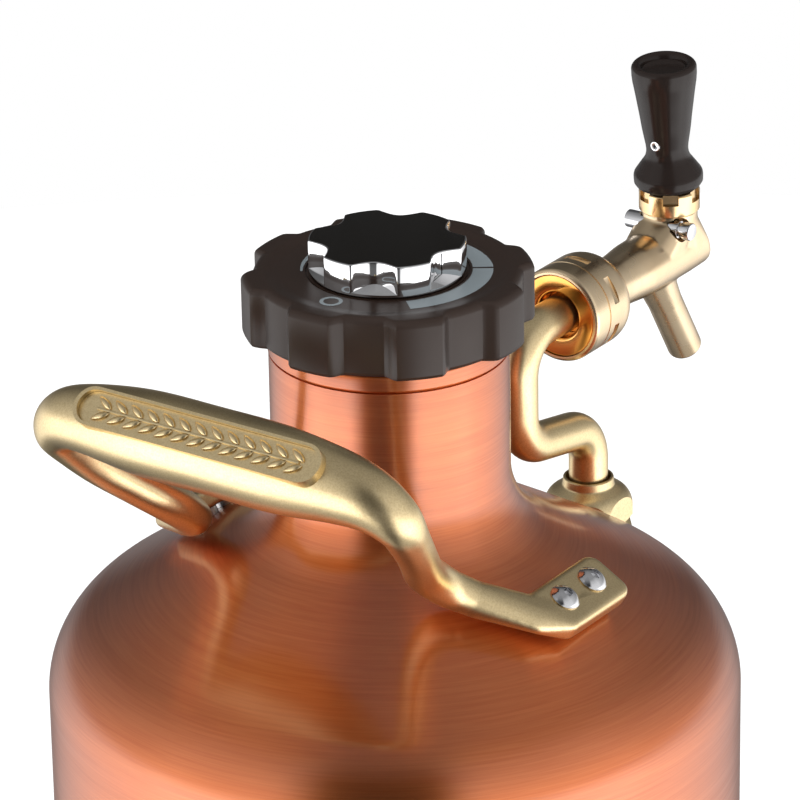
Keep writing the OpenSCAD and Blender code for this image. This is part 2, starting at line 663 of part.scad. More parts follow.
module plunger_seal() color(black) translate([0, -95.45, tap_z]) rotate([90, 0, 0])
    ring(1.8 + fit, 4.3, 5);

module lock_pin() color("#d8dadd") translate([0, -pin_y, pin_z]) difference() {
    translate([-pin_shift, 0, 0]) rotate([0, 90, 0]) cylinder(r = 2.2, h = 18.2, center = true);
    // the flat that lets the lever pass
    translate([-4.8, -3, -3]) cube([9.6, 4.2, 6]);
}

// ---------------------------------------------------------------- cap with regulator

// A round body with evenly spaced lobes
module lobed(r_low, r_high, count, width, h, turn = 0) {
    cylinder(r = r_low, h = h);
    intersection() {
        cylinder(r = r_high, h = h);
        for (k = [0:count - 1]) rotate([0, 0, turn + k * 360 / count])
            translate([0, -width / 2, 0]) cube([r_high + 1, width, h]);
    }
}

screw_az = [90, 210, 330];
relief_az = 30;
side_r = 13.4;

module cap_shell() color(black) difference() {
    translate([0, 0, cap_z]) lobed(cap_r - 2.6, cap_r, 8, 12.4, cap_h, 2);
    translate([0, 0, face_z]) cylinder(r = 26.2, h = 5);
    translate([0, 0, cap_z - 1]) cylinder(r = 26, h = cap_h - 1.9);
    translate([0, 0, cap_z]) cylinder(r = 3 + shaft, h = 30);
    for (a = screw_az) rotate([0, 0, a]) translate([side_r, 0, rim_z - 6]) {
        cylinder(r = 1.6, h = 10);
        translate([0, 0, 4.1]) cylinder(r = 2.8, h = 10);
    }
}

// The printed wedge that grows with the pressure, and the ring that marks shut-off
wedge_start = 35;
wedge_turn = 258;
module scale_marks() color("#7d8a92") translate([0, 0, face_z]) linear_extrude(0.15) {
    polygon(concat(
        [for (i = [0:40]) let (a = wedge_start - i * wedge_turn / 40) 19.1 * [cos(a), sin(a)]],
        [for (i = [40:-1:0]) let (a = wedge_start - i * wedge_turn / 40)
            (19.6 + 4.1 * min(1, i / 27)) * [cos(a), sin(a)]]));
    translate([0, 22]) difference() {
        circle(r = 2.6);
        circle(r = 1.8);
    }
}

chamber_lo = lip_z - 3.8;
spigot_lo = lip_z - 24;
module cap_core() color("#cfd2d4") difference() {
    union() {
        translate([0, 0, lip_z + 6.2]) cylinder(r = 25.4, h = 2.6);
        translate([0, 0, lip_z + 6.2]) cylinder(r = 17, h = rim_z - 2.9 - (lip_z + 6.2));
        translate([0, 0, lip_z - 12]) cylinder(r = 17.4, h = 18.3);
        for (i = [0:4]) translate([0, 0, lip_z - 9 + i * 2.5]) rotate_extrude()
            polygon([[17, -0.7], [17.4, -0.7], [18.2, -0.1], [18.2, 0.1], [17.4, 0.7], [17, 0.7]]);
        translate([0, 0, spigot_lo]) cylinder(r = 11, h = 13);
    }
    translate([0, 0, chamber_lo]) cylinder(r = 9, h = 40);
    translate([0, 0, lip_z - 17.2]) cylinder(r = 3.9, h = 20);
    translate([0, 0, spigot_lo - 1]) cylinder(r = 4.6, h = 8);
    rotate([0, 0, relief_az]) translate([side_r, 0, lip_z + 2]) cylinder(r = 2.4, h = 30);
    rotate([0, 0, relief_az]) translate([side_r, 0, lip_z - 13]) cylinder(r = 1, h = 20);
    for (a = screw_az) rotate([0, 0, a]) translate([side_r, 0, lip_z + 6.5]) cylinder(r = 1.3, h = 20);
}

module cap_gasket() color("#5a2d22") translate([0, 0, neck_top + 0.1]) ring(19.4, 25, 1);

module core_screws() color(steel) for (a = screw_az) rotate([0, 0, a])
    translate([side_r, 0, rim_z - 9.5]) difference() {
        union() {
            cylinder(r = 1.25, h = 8);
            translate([0, 0, 7.65]) cylinder(r = 2.7, h = 1);
        }
        translate([0, 0, 8.1]) cylinder(r = 1, h = 2, $fn = 6);
    }

dial_z = face_z + run;
// The dial's outline: six lobes, an inset in from the outside
function dial_outline(inset) = let (top = dial_r - inset, low = dial_r - 3.3 - inset)
    [for (k = [0:5]) let (m = 30 + 60 * k, w = 15.6 - 0.6 * inset)
        each concat(arc([0, 0], top, m - w, m + w, 5), arc([0, 0], low, m + w + 4, m + 56 - w, 3))];

module dial_skirt() color("#e4e6e8") translate([0, 0, dial_z]) difference() {
    linear_extrude(dial_h - run) polygon(dial_outline(0));
    translate([0, 0, -1]) cylinder(r = 12.6, h = dial_h - 1.2);
    translate([0, 0, dial_h - run - 0.8]) linear_extrude(5) polygon(dial_outline(1));
    cylinder(r = 2.9, h = 20, $fn = 4);
}

module dial_top() color("#141414") translate([0, 0, dial_z + dial_h - run - 0.75])
    linear_extrude(0.75) polygon(dial_outline(1.05));

module dial_spindle() color(steel) {
    translate([0, 0, lip_z + 7]) cylinder(r = 3, h = dial_z + 3 - (lip_z + 7));
    translate([0, 0, dial_z + 2]) cylinder(r = 2.8, h = dial_h - run - 2.85, $fn = 4);
}

adjust_z = lip_z + 8;
module adjust_nut() color(brass) translate([0, 0, adjust_z]) difference() {
    cylinder(r = 8.6, h = 3);
    translate([0, 0, -1]) cylinder(r = 3 + shaft, h = 5);
}

// A coil spring of round wire, standing on z = 0
module coil(r, wire, h, turns) {
    n = ceil(turns * 14);
    k = 8;
    polyhedron(
        points = [for (i = [0:n]) for (j = [0:k - 1])
            let (t = i / n, a = 360 * turns * t, b = 360 * j / k, q = r + wire * cos(b))
            [q * cos(a), q * sin(a), wire + (h - 2 * wire) * t + wire * sin(b)]],
        faces = concat([[for (j = [0:k - 1]) j]],
            [for (i = [0:n - 1]) for (j = [0:k - 1]) let (m = (j + 1) % k, a = i * k, b = a + k)
                each [[a + j, b + j, b + m], [a + j, b + m, a + m]]],
            [[for (j = [k - 1:-1:0]) n * k + j]]),
        convexity = 10);
}

diaphragm_z = lip_z - 2.6;
module regulator_spring() color(steel) translate([0, 0, diaphragm_z + 1.9])
    coil(6, 0.8, adjust_z - diaphragm_z - 2, 3.5);

module diaphragm() color("#a34a2a") translate([0, 0, diaphragm_z]) {
    cylinder(r = 8.6, h = 1.8);
}

module poppet() color(steel) {
    translate([0, 0, lip_z - 12]) cylinder(r = 1.1, h = diaphragm_z - 0.1 - (lip_z - 12));
    translate([0, 0, lip_z - 12]) cylinder(r = 2.8, h = 1.6);
}

module valve_seat() color(black) translate([0, 0, lip_z - 10.3]) ring(1.6, 3.8, 2.2);

module poppet_spring() color(steel) translate([0, 0, lip_z - 17.1]) coil(2.2, 0.35, 5, 4);

module pierce_pin() color(steel) translate([0, 0, lip_z]) difference() {
    union() {
        translate([0, 0, -18.9]) cylinder(r = 4.5, h = 1.8);
        translate([0, 0, -21.6]) cylinder(r = 0.9, h = 3);
        translate([0, 0, -23.4]) cylinder(r1 = 0.15, r2 = 0.9, h = 1.81);
    }
    translate([0, 0, -20]) cylinder(r = 0.4, h = 4);
}

module pin_seal() color("#d8d0b8") translate([0, 0, lip_z - 22.6]) ring(1.4, 4.4, 2);

cart_z = lip_z - 22.7 - cart_len;
module cartridge_sleeve() color("#c4c7ca") difference() {
    translate([0, 0, lip_z - 92]) rotate_extrude() polygon([[0, 0], [9, 0], [13, 4], [13, 78], [0, 78]]);
    translate([0, 0, spigot_lo - 0.3]) cylinder(r = 11 + run, h = 40);
    translate([0, 0, cart_z - 0.1]) cylinder(r = cart_r + 0.35, h = 80);
    for (a = [0, 90], z = [-84, -60]) translate([0, 0, lip_z + z]) rotate([90, 0, a])
        cylinder(r = 2.5, h = 40, center = true);
}

module gas_cartridge() color(steel) translate([0, 0, cart_z]) rotate_extrude() polygon(concat(
    [[0, 0]], arc([cart_r - 6, 6], 6, -80, 0, 6), [[cart_r, cart_len - 15]],
    arc([cart_r - 5, cart_len - 15], 5, 10, 60, 5), [[4.2, cart_len - 8], [4.2, cart_len - 0.6],
    [3.6, cart_len], [1.3, cart_len], [1.3, cart_len - 2], [0, cart_len - 2]]));

module relief_plug() color(brass) rotate([0, 0, relief_az]) translate([side_r, 0, lip_z + 2.1]) {
    cylinder(r = 2.1, h = 2.6);
    cylinder(r = 0.9, h = 7);
}

module relief_spring() color(steel) rotate([0, 0, relief_az]) translate([side_r, 0, lip_z + 4.8])
    coil(1.55, 0.3, rim_z - 3.1 - (lip_z + 4.8), 6);

base_pad();
base_cup();
outer_shell();
fitting_pocket();
inner_vessel();
vacuum_plug();
neck_ring();
handle();
handle_ornament();
handle_bosses();
handle_screws();
upper_fitting();
shoulder_nut();
lower_fitting();
fitting_bosses();
fitting_screws();
sight_glass();
sight_seals();
sight_guard();
gauge_case();
gauge_tube();
gauge_dial();
gauge_needle();
gauge_lens();
gauge_bezel();
beer_tube();
tube_collars();
tube_seals();
coupling_nut();
coupling_ring();
tap_body();
tap_bonnet();
tap_lever();
tap_handle();
handle_ring();
lever_seal();
plunger();
plunger_seal();
lock_pin();
cap_shell();
scale_marks();
cap_core();
cap_gasket();
core_screws();
dial_skirt();
dial_top();
dial_spindle();
adjust_nut();
regulator_spring();
diaphragm();
poppet();
poppet_spring();
valve_seat();
pierce_pin();
pin_seal();
cartridge_sleeve();
gas_cartridge();
relief_plug();
relief_spring();
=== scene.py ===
"""The looks of the pressurised growler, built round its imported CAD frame.

Shapes are worked out in millimetres, in the part's own frame: +Z up, the tap along -Y,
the carrying handle on the +Y side. mesh_piece() turns them into metres.
"""

import json
import math

import bmesh
import bpy
from mathutils import Matrix, Vector

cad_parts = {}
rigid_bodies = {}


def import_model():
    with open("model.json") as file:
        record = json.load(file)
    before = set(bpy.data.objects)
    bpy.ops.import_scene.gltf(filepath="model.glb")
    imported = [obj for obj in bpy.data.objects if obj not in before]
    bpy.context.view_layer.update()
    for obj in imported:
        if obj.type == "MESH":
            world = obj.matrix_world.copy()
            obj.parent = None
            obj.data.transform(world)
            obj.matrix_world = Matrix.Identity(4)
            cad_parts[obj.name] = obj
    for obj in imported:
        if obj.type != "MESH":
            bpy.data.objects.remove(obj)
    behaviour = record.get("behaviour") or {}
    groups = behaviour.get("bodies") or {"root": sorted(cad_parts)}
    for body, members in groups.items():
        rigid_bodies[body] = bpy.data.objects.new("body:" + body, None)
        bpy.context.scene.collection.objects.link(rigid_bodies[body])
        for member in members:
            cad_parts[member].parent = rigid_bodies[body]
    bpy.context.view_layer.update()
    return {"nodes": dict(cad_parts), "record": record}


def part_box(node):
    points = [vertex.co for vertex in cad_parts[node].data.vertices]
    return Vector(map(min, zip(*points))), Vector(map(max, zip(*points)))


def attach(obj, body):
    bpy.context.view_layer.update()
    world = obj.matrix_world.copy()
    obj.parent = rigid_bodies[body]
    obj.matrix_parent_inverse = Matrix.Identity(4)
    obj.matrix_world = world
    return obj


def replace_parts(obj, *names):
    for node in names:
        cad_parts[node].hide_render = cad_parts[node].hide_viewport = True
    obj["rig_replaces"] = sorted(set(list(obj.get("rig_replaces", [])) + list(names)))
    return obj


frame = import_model()
BODY_OF = {
    node: body
    for body, nodes in frame["record"]["behaviour"]["bodies"].items()
    for node in nodes
}
SLOT_OF = {s["node"]: s["material_slot"] for s in frame["record"]["subparts"]}
MM = 0.001
TO_MM = 1000

# ------------------------------------------------------------------ sizes, in mm

RING_H = 4.8
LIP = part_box("neck_ring")[1].z * TO_MM - RING_H  # the neck's lip line
BODY_R = 80
BODY_TOP = 232
KNUCKLE_R = 22
CONE_A = math.radians(30.75)
FILLET_R = 19
NECK_R = 27.3
BASE_Z = 14
CAP_Z = LIP + 5.1
RIM_Z = LIP + 19.3
FACE_Z = LIP + 18.7
TAP_Z = LIP - 17
RUN_Z = LIP - 47.7
POCKET_Z = LIP - 74.4
NUT_Y = 82.7
RUN_Y = 52.4
TAP_Y = 119
SEAT_Z = TAP_Z + 11
BALL_Z = TAP_Z + 13.6
PIN_Z = TAP_Z + 7.8
PIN_Y = 114.6
GRIP_Y = 66.5
WALL = 1.2

# Where the rounded shoulder edge meets the cone: radius, height
CONE_FOOT = (
    BODY_R - KNUCKLE_R + KNUCKLE_R * math.sin(CONE_A),
    BODY_TOP + KNUCKLE_R * math.cos(CONE_A),
)


# ------------------------------------------------------------------ modelling helpers

TINY = 1e-6
STRAIGHT = math.pi / 2 - 0.02  # half the angle of a corner that counts as straight
SIDE_SHARE = 0.48  # the most of a side that the arc at one end of it may take


def arc(cx, cy, r, a0, a1, n=10):
    """Points on an arc from angle a0 to a1, in degrees."""
    return [
        (
            cx + r * math.cos(math.radians(a0 + (a1 - a0) * i / n)),
            cy + r * math.sin(math.radians(a0 + (a1 - a0) * i / n)),
        )
        for i in range(n + 1)
    ]


def rounded(points, radius, steps=4, closed=False):
    """The polyline with each corner replaced by an arc; a radius of 0 keeps the corner sharp.
    No arc takes more than about half of a side, and nearly straight corners are left alone."""
    n = len(points)
    radii = radius if isinstance(radius, (list, tuple)) else [radius] * n
    out = []
    for i, p in enumerate(points):
        p = Vector(p)
        if radii[i] <= 0 or (not closed and i in (0, n - 1)):
            out.append(tuple(p))
            continue
        a, b = Vector(points[i - 1]) - p, Vector(points[(i + 1) % n]) - p
        la, lb = a.length, b.length
        if min(la, lb) < TINY:
            continue
        a, b = a / la, b / lb
        half = a.angle(b) / 2
        if half > STRAIGHT:
            out.append(tuple(p))
            continue
        reach = min(radii[i] / math.tan(half), la * SIDE_SHARE, lb * SIDE_SHARE)
        r = reach * math.tan(half)
        centre = p + (a + b).normalized() * (r / math.sin(half))
        start, end = p + a * reach - centre, p + b * reach - centre
        swing = start.angle_signed(end)
        for k in range(steps + 1):
            t = -swing * k / steps
            c, s = math.cos(t), math.sin(t)
            out.append((centre.x + start.x * c - start.y * s, centre.y + start.x * s + start.y * c))
    return out


def lathe(profile, segments=128, closed=False):
    """A bmesh turned about Z from points (radius, z); closed joins the last point to the first."""
    bm = bmesh.new()
    rings = []
    for r, z in profile:
        if r < TINY:
            rings.append([bm.verts.new((0, 0, z))])
        else:
            rings.append(
                [
                    bm.verts.new((r * math.cos(t), r * math.sin(t), z))
                    for t in (2 * math.pi * k / segments for k in range(segments))
                ]
            )
    pairs = list(zip(rings, rings[1:]))
    if closed:
        pairs.append((rings[-1], rings[0]))
    for a, b in pairs:
        for k in range(segments):
            m = (k + 1) % segments
            corners = [a[k % len(a)], a[m % len(a)], b[m % len(b)], b[k % len(b)]]
            face = list(dict.fromkeys(corners))
            if len(face) > 2:
                bm.faces.new(face)
    bmesh.ops.recalc_face_normals(bm, faces=bm.faces)
    return bm


def stacked(outline, layers, segments=288):
    """A closed bmesh of radial outlines: each layer is (z, inset) of outline(angle) -> radius."""
    bm = bmesh.new()
    rings = []
    for z, inset in layers:
        rings.append(
            [
                bm.verts.new(((outline(t) - inset) * math.cos(t), (outline(t) - inset) * math.sin(t), z))
                for t in (2 * math.pi * k / segments for k in range(segments))
            ]
        )
    for a, b in zip(rings, rings[1:]):
        for k in range(segments):
            m = (k + 1) % segments
            bm.faces.new((a[k], a[m], b[m], b[k]))
    bm.faces.new(rings[0][::-1])
    bm.faces.new(rings[-1])
    bmesh.ops.recalc_face_normals(bm, faces=bm.faces)
    return bm


def spline(points, steps):
    """A smooth curve through the points, each a tuple of numbers."""
    out = []
    last = len(points) - 1
    for i in range(last):
        a, b = points[max(i - 1, 0)], points[i]
        c, d = points[i + 1], points[min(i + 2, last)]
        for j in range(steps):
            t = j / steps
            out.append(
                tuple(
                    0.5
                    * (
                        2 * q
                        + (r - p) * t
                        + (2 * p - 5 * q + 4 * r - s) * t * t
                        + (3 * q - p - 3 * r + s) * t**3
                    )
                    for p, q, r, s in zip(a, b, c, d)
                )
            )
    out.append(tuple(points[-1]))
    return out


def sweep(points, sizes, sides=32, level=True):
    """A closed tube along the points; sizes are (half height, half depth) of each ring.
    level keeps the depth level, as a cast bar's; a round tube needs no twist control."""
    bm = bmesh.new()
    rings = []
    count = len(points)
    side = Vector((1, 0, 0))
    for i in range(count):
        t = (Vector(points[min(i + 1, count - 1)]) - Vector(points[max(i - 1, 0)])).normalized()
        out = t.cross(Vector((0, 0, 1))).normalized() if level else t.cross(side).normalized()
        up = out.cross(t)
        rings.append(
            [
                bm.verts.new(
                    Vector(points[i])
                    + out * (math.cos(a) * sizes[i][1])
                    + up * (math.sin(a) * sizes[i][0])
                )
                for a in (2 * math.pi * k / sides for k in range(sides))
            ]
        )
    for a, b in zip(rings, rings[1:]):
        for k in range(sides):
            m = (k + 1) % sides
            bm.faces.new((a[k], a[m], b[m], b[k]))
    bm.faces.new(rings[0][::-1])
    bm.faces.new(rings[-1])
    bmesh.ops.recalc_face_normals(bm, faces=bm.faces)
    return bm


def box(low, high):
    bm = bmesh.new()
    bmesh.ops.create_cube(bm, size=1)
    for v in bm.verts:
        v.co = Vector([lo + (c + 0.5) * (hi - lo) for c, lo, hi in zip(v.co, low, high)])
    return bm


def bevelled(bm, width, segments=3, angle=30):
    edges = [
        e for e in bm.edges if len(e.link_faces) == 2 and e.calc_face_angle() > math.radians(angle)
    ]
    bmesh.ops.bevel(
        bm, geom=edges, offset=width, segments=segments, profile=0.5, affect="EDGES", clamp_overlap=True
    )
    return bm


def hull(bm):
    """The convex hull of a bmesh's points."""
    found = bmesh.ops.convex_hull(bm, input=bm.verts)
    spare = set(found["geom_interior"] + found["geom_unused"])
    loose = [v for v in spare if isinstance(v, bmesh.types.BMVert)]
    bmesh.ops.delete(bm, geom=loose, context="VERTS")
    return bm


def moved(bm, matrix):
    bm.transform(matrix)
    return bm


def shift(x, y, z):
    return Matrix.Translation((x, y, z))


def turn(degrees, axis):
    return Matrix.Rotation(math.radians(degrees), 4, axis)


ALONG_TAP = turn(90, "X")  # takes +Z to -Y


def joined(*parts):
    """One bmesh of several, with nothing fused."""
    whole = bmesh.new()
    for part in parts:
        data = bpy.data.meshes.new("part")
        part.to_mesh(data)
        part.free()
        whole.from_mesh(data)
        bpy.data.meshes.remove(data)
    return whole


def placed(name, bm):
    """A new object of the bmesh, which is freed."""
    data = bpy.data.meshes.new(name)
    bm.to_mesh(data)
    bm.free()
    obj = bpy.data.objects.new(name, data)
    bpy.context.scene.collection.objects.link(obj)
    return obj


def removed(obj):
    """Deletes an object and its mesh."""
    data = obj.data
    bpy.data.objects.remove(obj)
    bpy.data.meshes.remove(data)


def evaluated(obj):
    """The bmesh of an object with its modifiers, which is then removed."""
    bpy.context.view_layer.update()
    shown = obj.evaluated_get(bpy.context.evaluated_depsgraph_get())
    bm = bmesh.new()
    bm.from_mesh(shown.to_mesh())
    shown.to_mesh_clear()
    removed(obj)
    return bm


def combined(bm, other, operation):
    """The exact boolean of two closed bmeshes."""
    a, b = placed("temporary", bm), placed("temporary", other)
    step = a.modifiers.new("boolean", "BOOLEAN")
    step.operation = operation
    step.object = b
    step.solver = "EXACT"
    step.use_self = operation == "UNION"
    result = evaluated(a)
    removed(b)
    return result


def cut(bm, *cutters):
    """The bmesh less each cutter in turn."""
    for cutter in cutters:
        bm = combined(bm, cutter, "DIFFERENCE")
    return bm


def fused(bm, grain, smoothing, share):
    """Overlapping closed shapes as one cast skin: remeshed at the grain, smoothed, thinned."""
    obj = placed("temporary", bm)
    remesh = obj.modifiers.new("remesh", "REMESH")
    remesh.mode = "VOXEL"
    remesh.voxel_size = grain
    smooth = obj.modifiers.new("smooth", "SMOOTH")
    smooth.factor = 0.5
    smooth.iterations = smoothing
    thin = obj.modifiers.new("thin", "DECIMATE")
    thin.ratio = share
    return evaluated(obj)


def mesh_piece(name, bm, node, sharp=38, material=None):
    """Makes the piece from a bmesh in mm, hides the CAD node it stands for, and lets it ride.
    Edges sharper than the angle, in degrees, stay crisp."""
    bm.transform(Matrix.Scale(MM, 4))
    obj = placed(name, bm)
    obj.data.shade_smooth()
    obj.data.set_sharp_from_angle(angle=math.radians(sharp))
    obj.data.materials.append(MATERIALS[material or SLOT_OF[node]])
    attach(obj, BODY_OF[node])
    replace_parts(obj, node)


# ------------------------------------------------------------------ materials


class Look:
    """A material's node tree, with short calls for the nodes used here."""

    def __init__(self, name, color, metallic, roughness, **sockets):
        self.material = bpy.data.materials.new(name)
        self.material.use_nodes = True
        self.tree = self.material.node_tree
        self.shader = self.tree.nodes["Principled BSDF"]
        self.shader.inputs["Base Color"].default_value = (*color, 1)
        self.shader.inputs["Metallic"].default_value = metallic
        self.shader.inputs["Roughness"].default_value = roughness
        for socket, value in sockets.items():
            self.shader.inputs[socket.replace("_", " ")].default_value = value
        self.place = self.node("ShaderNodeTexCoord").outputs["Object"]

    def node(self, kind, **settings):
        made = self.tree.nodes.new(kind)
        for key, value in settings.items():
            setattr(made, key, value)
        return made

    def link(self, a, b):
        self.tree.links.new(a, b)

    def stretched(self, scale):
        """Object coordinates times a scale for each axis."""
        mapping = self.node("ShaderNodeMapping")
        mapping.inputs["Scale"].default_value = scale
        self.link(self.place, mapping.inputs["Vector"])
        return mapping.outputs["Vector"]

    def noise(self, scale, detail=2.0, stretch=(1, 1, 1), roughness=0.5):
        made = self.node("ShaderNodeTexNoise")
        made.inputs["Scale"].default_value = scale
        made.inputs["Detail"].default_value = detail
        made.inputs["Roughness"].default_value = roughness
        self.link(self.stretched(stretch), made.inputs["Vector"])
        return made.outputs["Fac"]

    def ranged(self, value, low, high, out_low, out_high):
        made = self.node("ShaderNodeMapRange")
        ends = {"From Min": low, "From Max": high, "To Min": out_low, "To Max": out_high}
        for socket, number in ends.items():
            made.inputs[socket].default_value = number
        self.link(value, made.inputs["Value"])
        return made.outputs["Result"]

    def tint(self, fac, dark, light):
        ramp = self.node("ShaderNodeValToRGB")
        ramp.color_ramp.elements[0].color = (*dark, 1)
        ramp.color_ramp.elements[1].color = (*light, 1)
        self.link(fac, ramp.inputs["Fac"])
        self.link(ramp.outputs["Color"], self.shader.inputs["Base Color"])

    def rough(self, value):
        self.link(value, self.shader.inputs["Roughness"])

    def bump(self, height, strength, distance):
        made = self.node("ShaderNodeBump")
        made.inputs["Strength"].default_value = strength
        made.inputs["Distance"].default_value = distance
        self.link(height, made.inputs["Height"])
        self.link(made.outputs["Normal"], self.shader.inputs["Normal"])

    def radial(self):
        """Brushing in rings about the vessel's axis."""
        tangent = self.node("ShaderNodeTangent", direction_type="RADIAL", axis="Z")
        self.link(tangent.outputs["Tangent"], self.shader.inputs["Tangent"])


def brushed_copper():
    look = Look(
        "copper", (0.75, 0.19, 0.045), 1, 0.42, Anisotropic=0.85, Anisotropic_Rotation=0.25,
        Coat_Weight=0.9, Coat_IOR=1.75, Coat_Roughness=0.16,
    )
    look.radial()
    fine = look.noise(1, detail=3, stretch=(45, 45, 2600), roughness=0.6)
    broad = look.noise(1, detail=2, stretch=(14, 14, 420))
    look.tint(look.ranged(fine, 0.3, 0.7, 0, 1), (0.7, 0.16, 0.034), (0.8, 0.22, 0.058))
    look.rough(look.ranged(broad, 0.3, 0.7, 0.38, 0.46))
    look.bump(fine, strength=0.12, distance=0.00006)
    return look.material


def satin_brass():
    look = Look("satin_brass", (0.86, 0.68, 0.385), 1, 0.34)
    grain = look.noise(2600, 2)
    cloud = look.noise(60, 2)
    look.tint(look.ranged(grain, 0.35, 0.65, 0, 1), (0.8, 0.62, 0.335), (0.92, 0.74, 0.435))
    look.rough(look.ranged(cloud, 0.3, 0.7, 0.3, 0.37))
    look.bump(grain, strength=0.16, distance=0.00005)
    return look.material


def tap_brass():
    look = Look("tap_brass", (0.86, 0.67, 0.44), 1, 0.27)
    cloud = look.noise(90, 3)
    look.tint(look.ranged(cloud, 0.3, 0.7, 0, 1), (0.83, 0.63, 0.4), (0.89, 0.71, 0.48))
    look.rough(look.ranged(cloud, 0.3, 0.7, 0.22, 0.31))
    look.bump(look.noise(900, 2), strength=0.06, distance=0.00005)
    return look.material


def polished_brass():
    look = Look("polished_brass", (0.8, 0.4, 0.11), 1, 0.14)
    cloud = look.noise(120, 2)
    look.tint(look.ranged(cloud, 0.3, 0.7, 0, 1), (0.74, 0.35, 0.085), (0.86, 0.46, 0.15))
    look.rough(look.ranged(cloud, 0.3, 0.7, 0.1, 0.18))
    return look.material


def metal(name, color, roughness, spread=0.04, grain=300):
    look = Look(name, color, 1, roughness)
    look.rough(look.ranged(look.noise(grain, 2), 0.3, 0.7, roughness - spread, roughness + spread))
    return look.material


def plastic(name, color, roughness, grain=0, depth=0.0, **sockets):
    look = Look(name, color, 0, roughness, **sockets)
    cloud = look.noise(80, 3)
    look.rough(look.ranged(cloud, 0.3, 0.7, roughness * 0.88, roughness * 1.12))
    if grain:
        look.bump(look.noise(grain, 2), strength=depth, distance=0.00006)
    return look.material


def clear_glass():
    look = Look("clear_glass", (0.96, 0.98, 0.98), 0, 0.03)
    look.shader.inputs["Transmission Weight"].default_value = 1
    look.shader.inputs["IOR"].default_value = 1.47
    return look.material


MATERIALS = {
    "copper": brushed_copper(),
    "satin_brass": satin_brass(),
    "tap_brass": tap_brass(),
    "bonnet_brass": metal("bonnet_brass", (0.92, 0.66, 0.36), 0.22),
    "polished_brass": polished_brass(),
    "steel": metal("steel", (0.55, 0.56, 0.57), 0.3),
    "bright_steel": metal("bright_steel", (0.74, 0.74, 0.76), 0.12),
    "spring_steel": metal("spring_steel", (0.4, 0.41, 0.42), 0.3),
    "alloy": metal("alloy", (0.6, 0.61, 0.62), 0.28),
    "chrome": metal("chrome", (0.9, 0.9, 0.91), 0.05, 0.02),
    "matte_black": plastic(
        "matte_black", (0.03, 0.017, 0.012), 0.34, grain=1500, depth=0.06, Specular_IOR_Level=0.36
    ),
    "satin_black": plastic(
        "satin_black", (0.018, 0.012, 0.01), 0.2, grain=700, depth=0.02, Specular_IOR_Level=0.24
    ),
    "gloss_black": plastic("gloss_black", (0.008, 0.006, 0.004), 0.1),
    "scale_grey": plastic("scale_grey", (0.17, 0.2, 0.215), 0.4),
    "rubber_foot": plastic("rubber_foot", (0.02, 0.02, 0.02), 0.6, grain=900, depth=0.2),
    "seal_rubber": plastic("seal_rubber", (0.02, 0.017, 0.016), 0.5, grain=900, depth=0.1),
    "white_enamel": plastic("white_enamel", (0.86, 0.85, 0.82), 0.3),
    "black_paint": plastic("black_paint", (0.02, 0.02, 0.02), 0.35),
    "clear_glass": clear_glass(),
}

for node, obj in frame["nodes"].items():
    obj.data.materials.clear()
    obj.data.materials.append(MATERIALS[SLOT_OF[node]])


# ------------------------------------------------------------------ vessel


def cone_height(x):
    return CONE_FOOT[1] + (CONE_FOOT[0] - x) * math.tan(CONE_A)


def wall_outline(inset, foot, top, steps=16):
    """The vessel's outline from its foot to the neck, an inset inside the outer surface."""
    cone = math.degrees(CONE_A)
    fillet_x = NECK_R + FILLET_R
    high_x = fillet_x - FILLET_R * math.sin(CONE_A)
    fillet_z = cone_height(high_x) + FILLET_R * math.cos(CONE_A)
    return (
        [(BODY_R - inset, foot)]
        + arc(BODY_R - KNUCKLE_R, BODY_TOP, KNUCKLE_R - inset, 0, 90 - cone, steps)
        + arc(fillet_x, fillet_z, FILLET_R + inset, 270 - cone, 180, steps)
        + [(NECK_R - inset, top)]
    )


def build_vessel():
    ends = (BASE_Z + 0.05, LIP - 0.05)
    shell = lathe(wall_outline(0, *ends) + wall_outline(WALL, *ends)[::-1], 224, closed=True)
    pocket = lathe([(0, 0), (12.55, 0), (12.55, 60), (0, 60)], 96)
    shell = cut(shell, moved(pocket, shift(0, -NUT_Y, POCKET_Z - 1.1)))
    mesh_piece("shell", shell, "outer_shell")

    ring = rounded(
        [
            (18.6, LIP - 11.9), (26, LIP - 11.9), (26, LIP), (26.9, LIP), (27.5, LIP + 0.7),
            (27.5, LIP + 4.1), (26.7, LIP + RING_H), (18.6, LIP + RING_H),
        ],
        [0.2, 0.2, 0, 0.2, 0.5, 0.6, 0.6, 0.4], 4, closed=True,
    )
    mesh_piece("mouth_ring", lathe(ring, 192, closed=True), "neck_ring")

    cup = [(0, 4.3), (66.1, 4.3), (66.1, 3.15)]
    cup += arc(BODY_R - 5, 8.1, 4.98, -90, 0, 10)
    cup += [(BODY_R, BASE_Z - 0.4), (BODY_R - 0.4, BASE_Z)]
    cup += [(BODY_R - 1.3, BASE_Z), (BODY_R - 1.3, BASE_Z + 5)]
    cup += [(BODY_R - 2.6, BASE_Z + 5), (BODY_R - 2.6, 8.1)]
    cup += arc(BODY_R - 6, 8.6, 2.8, 0, -90, 6)
    cup += [(0, 5.8)]
    mesh_piece("bottom_cup", lathe(cup, 224), "base_cup")

    pad = rounded([(0, 0), (71, 0), (72, 3), (66, 3), (66, 4.2), (0, 4.2)], [0, 1, 0.6, 0, 0.2, 0], 4)
    mesh_piece("foot_pad", lathe(pad, 160), "base_pad")


# ------------------------------------------------------------------ carrying handle

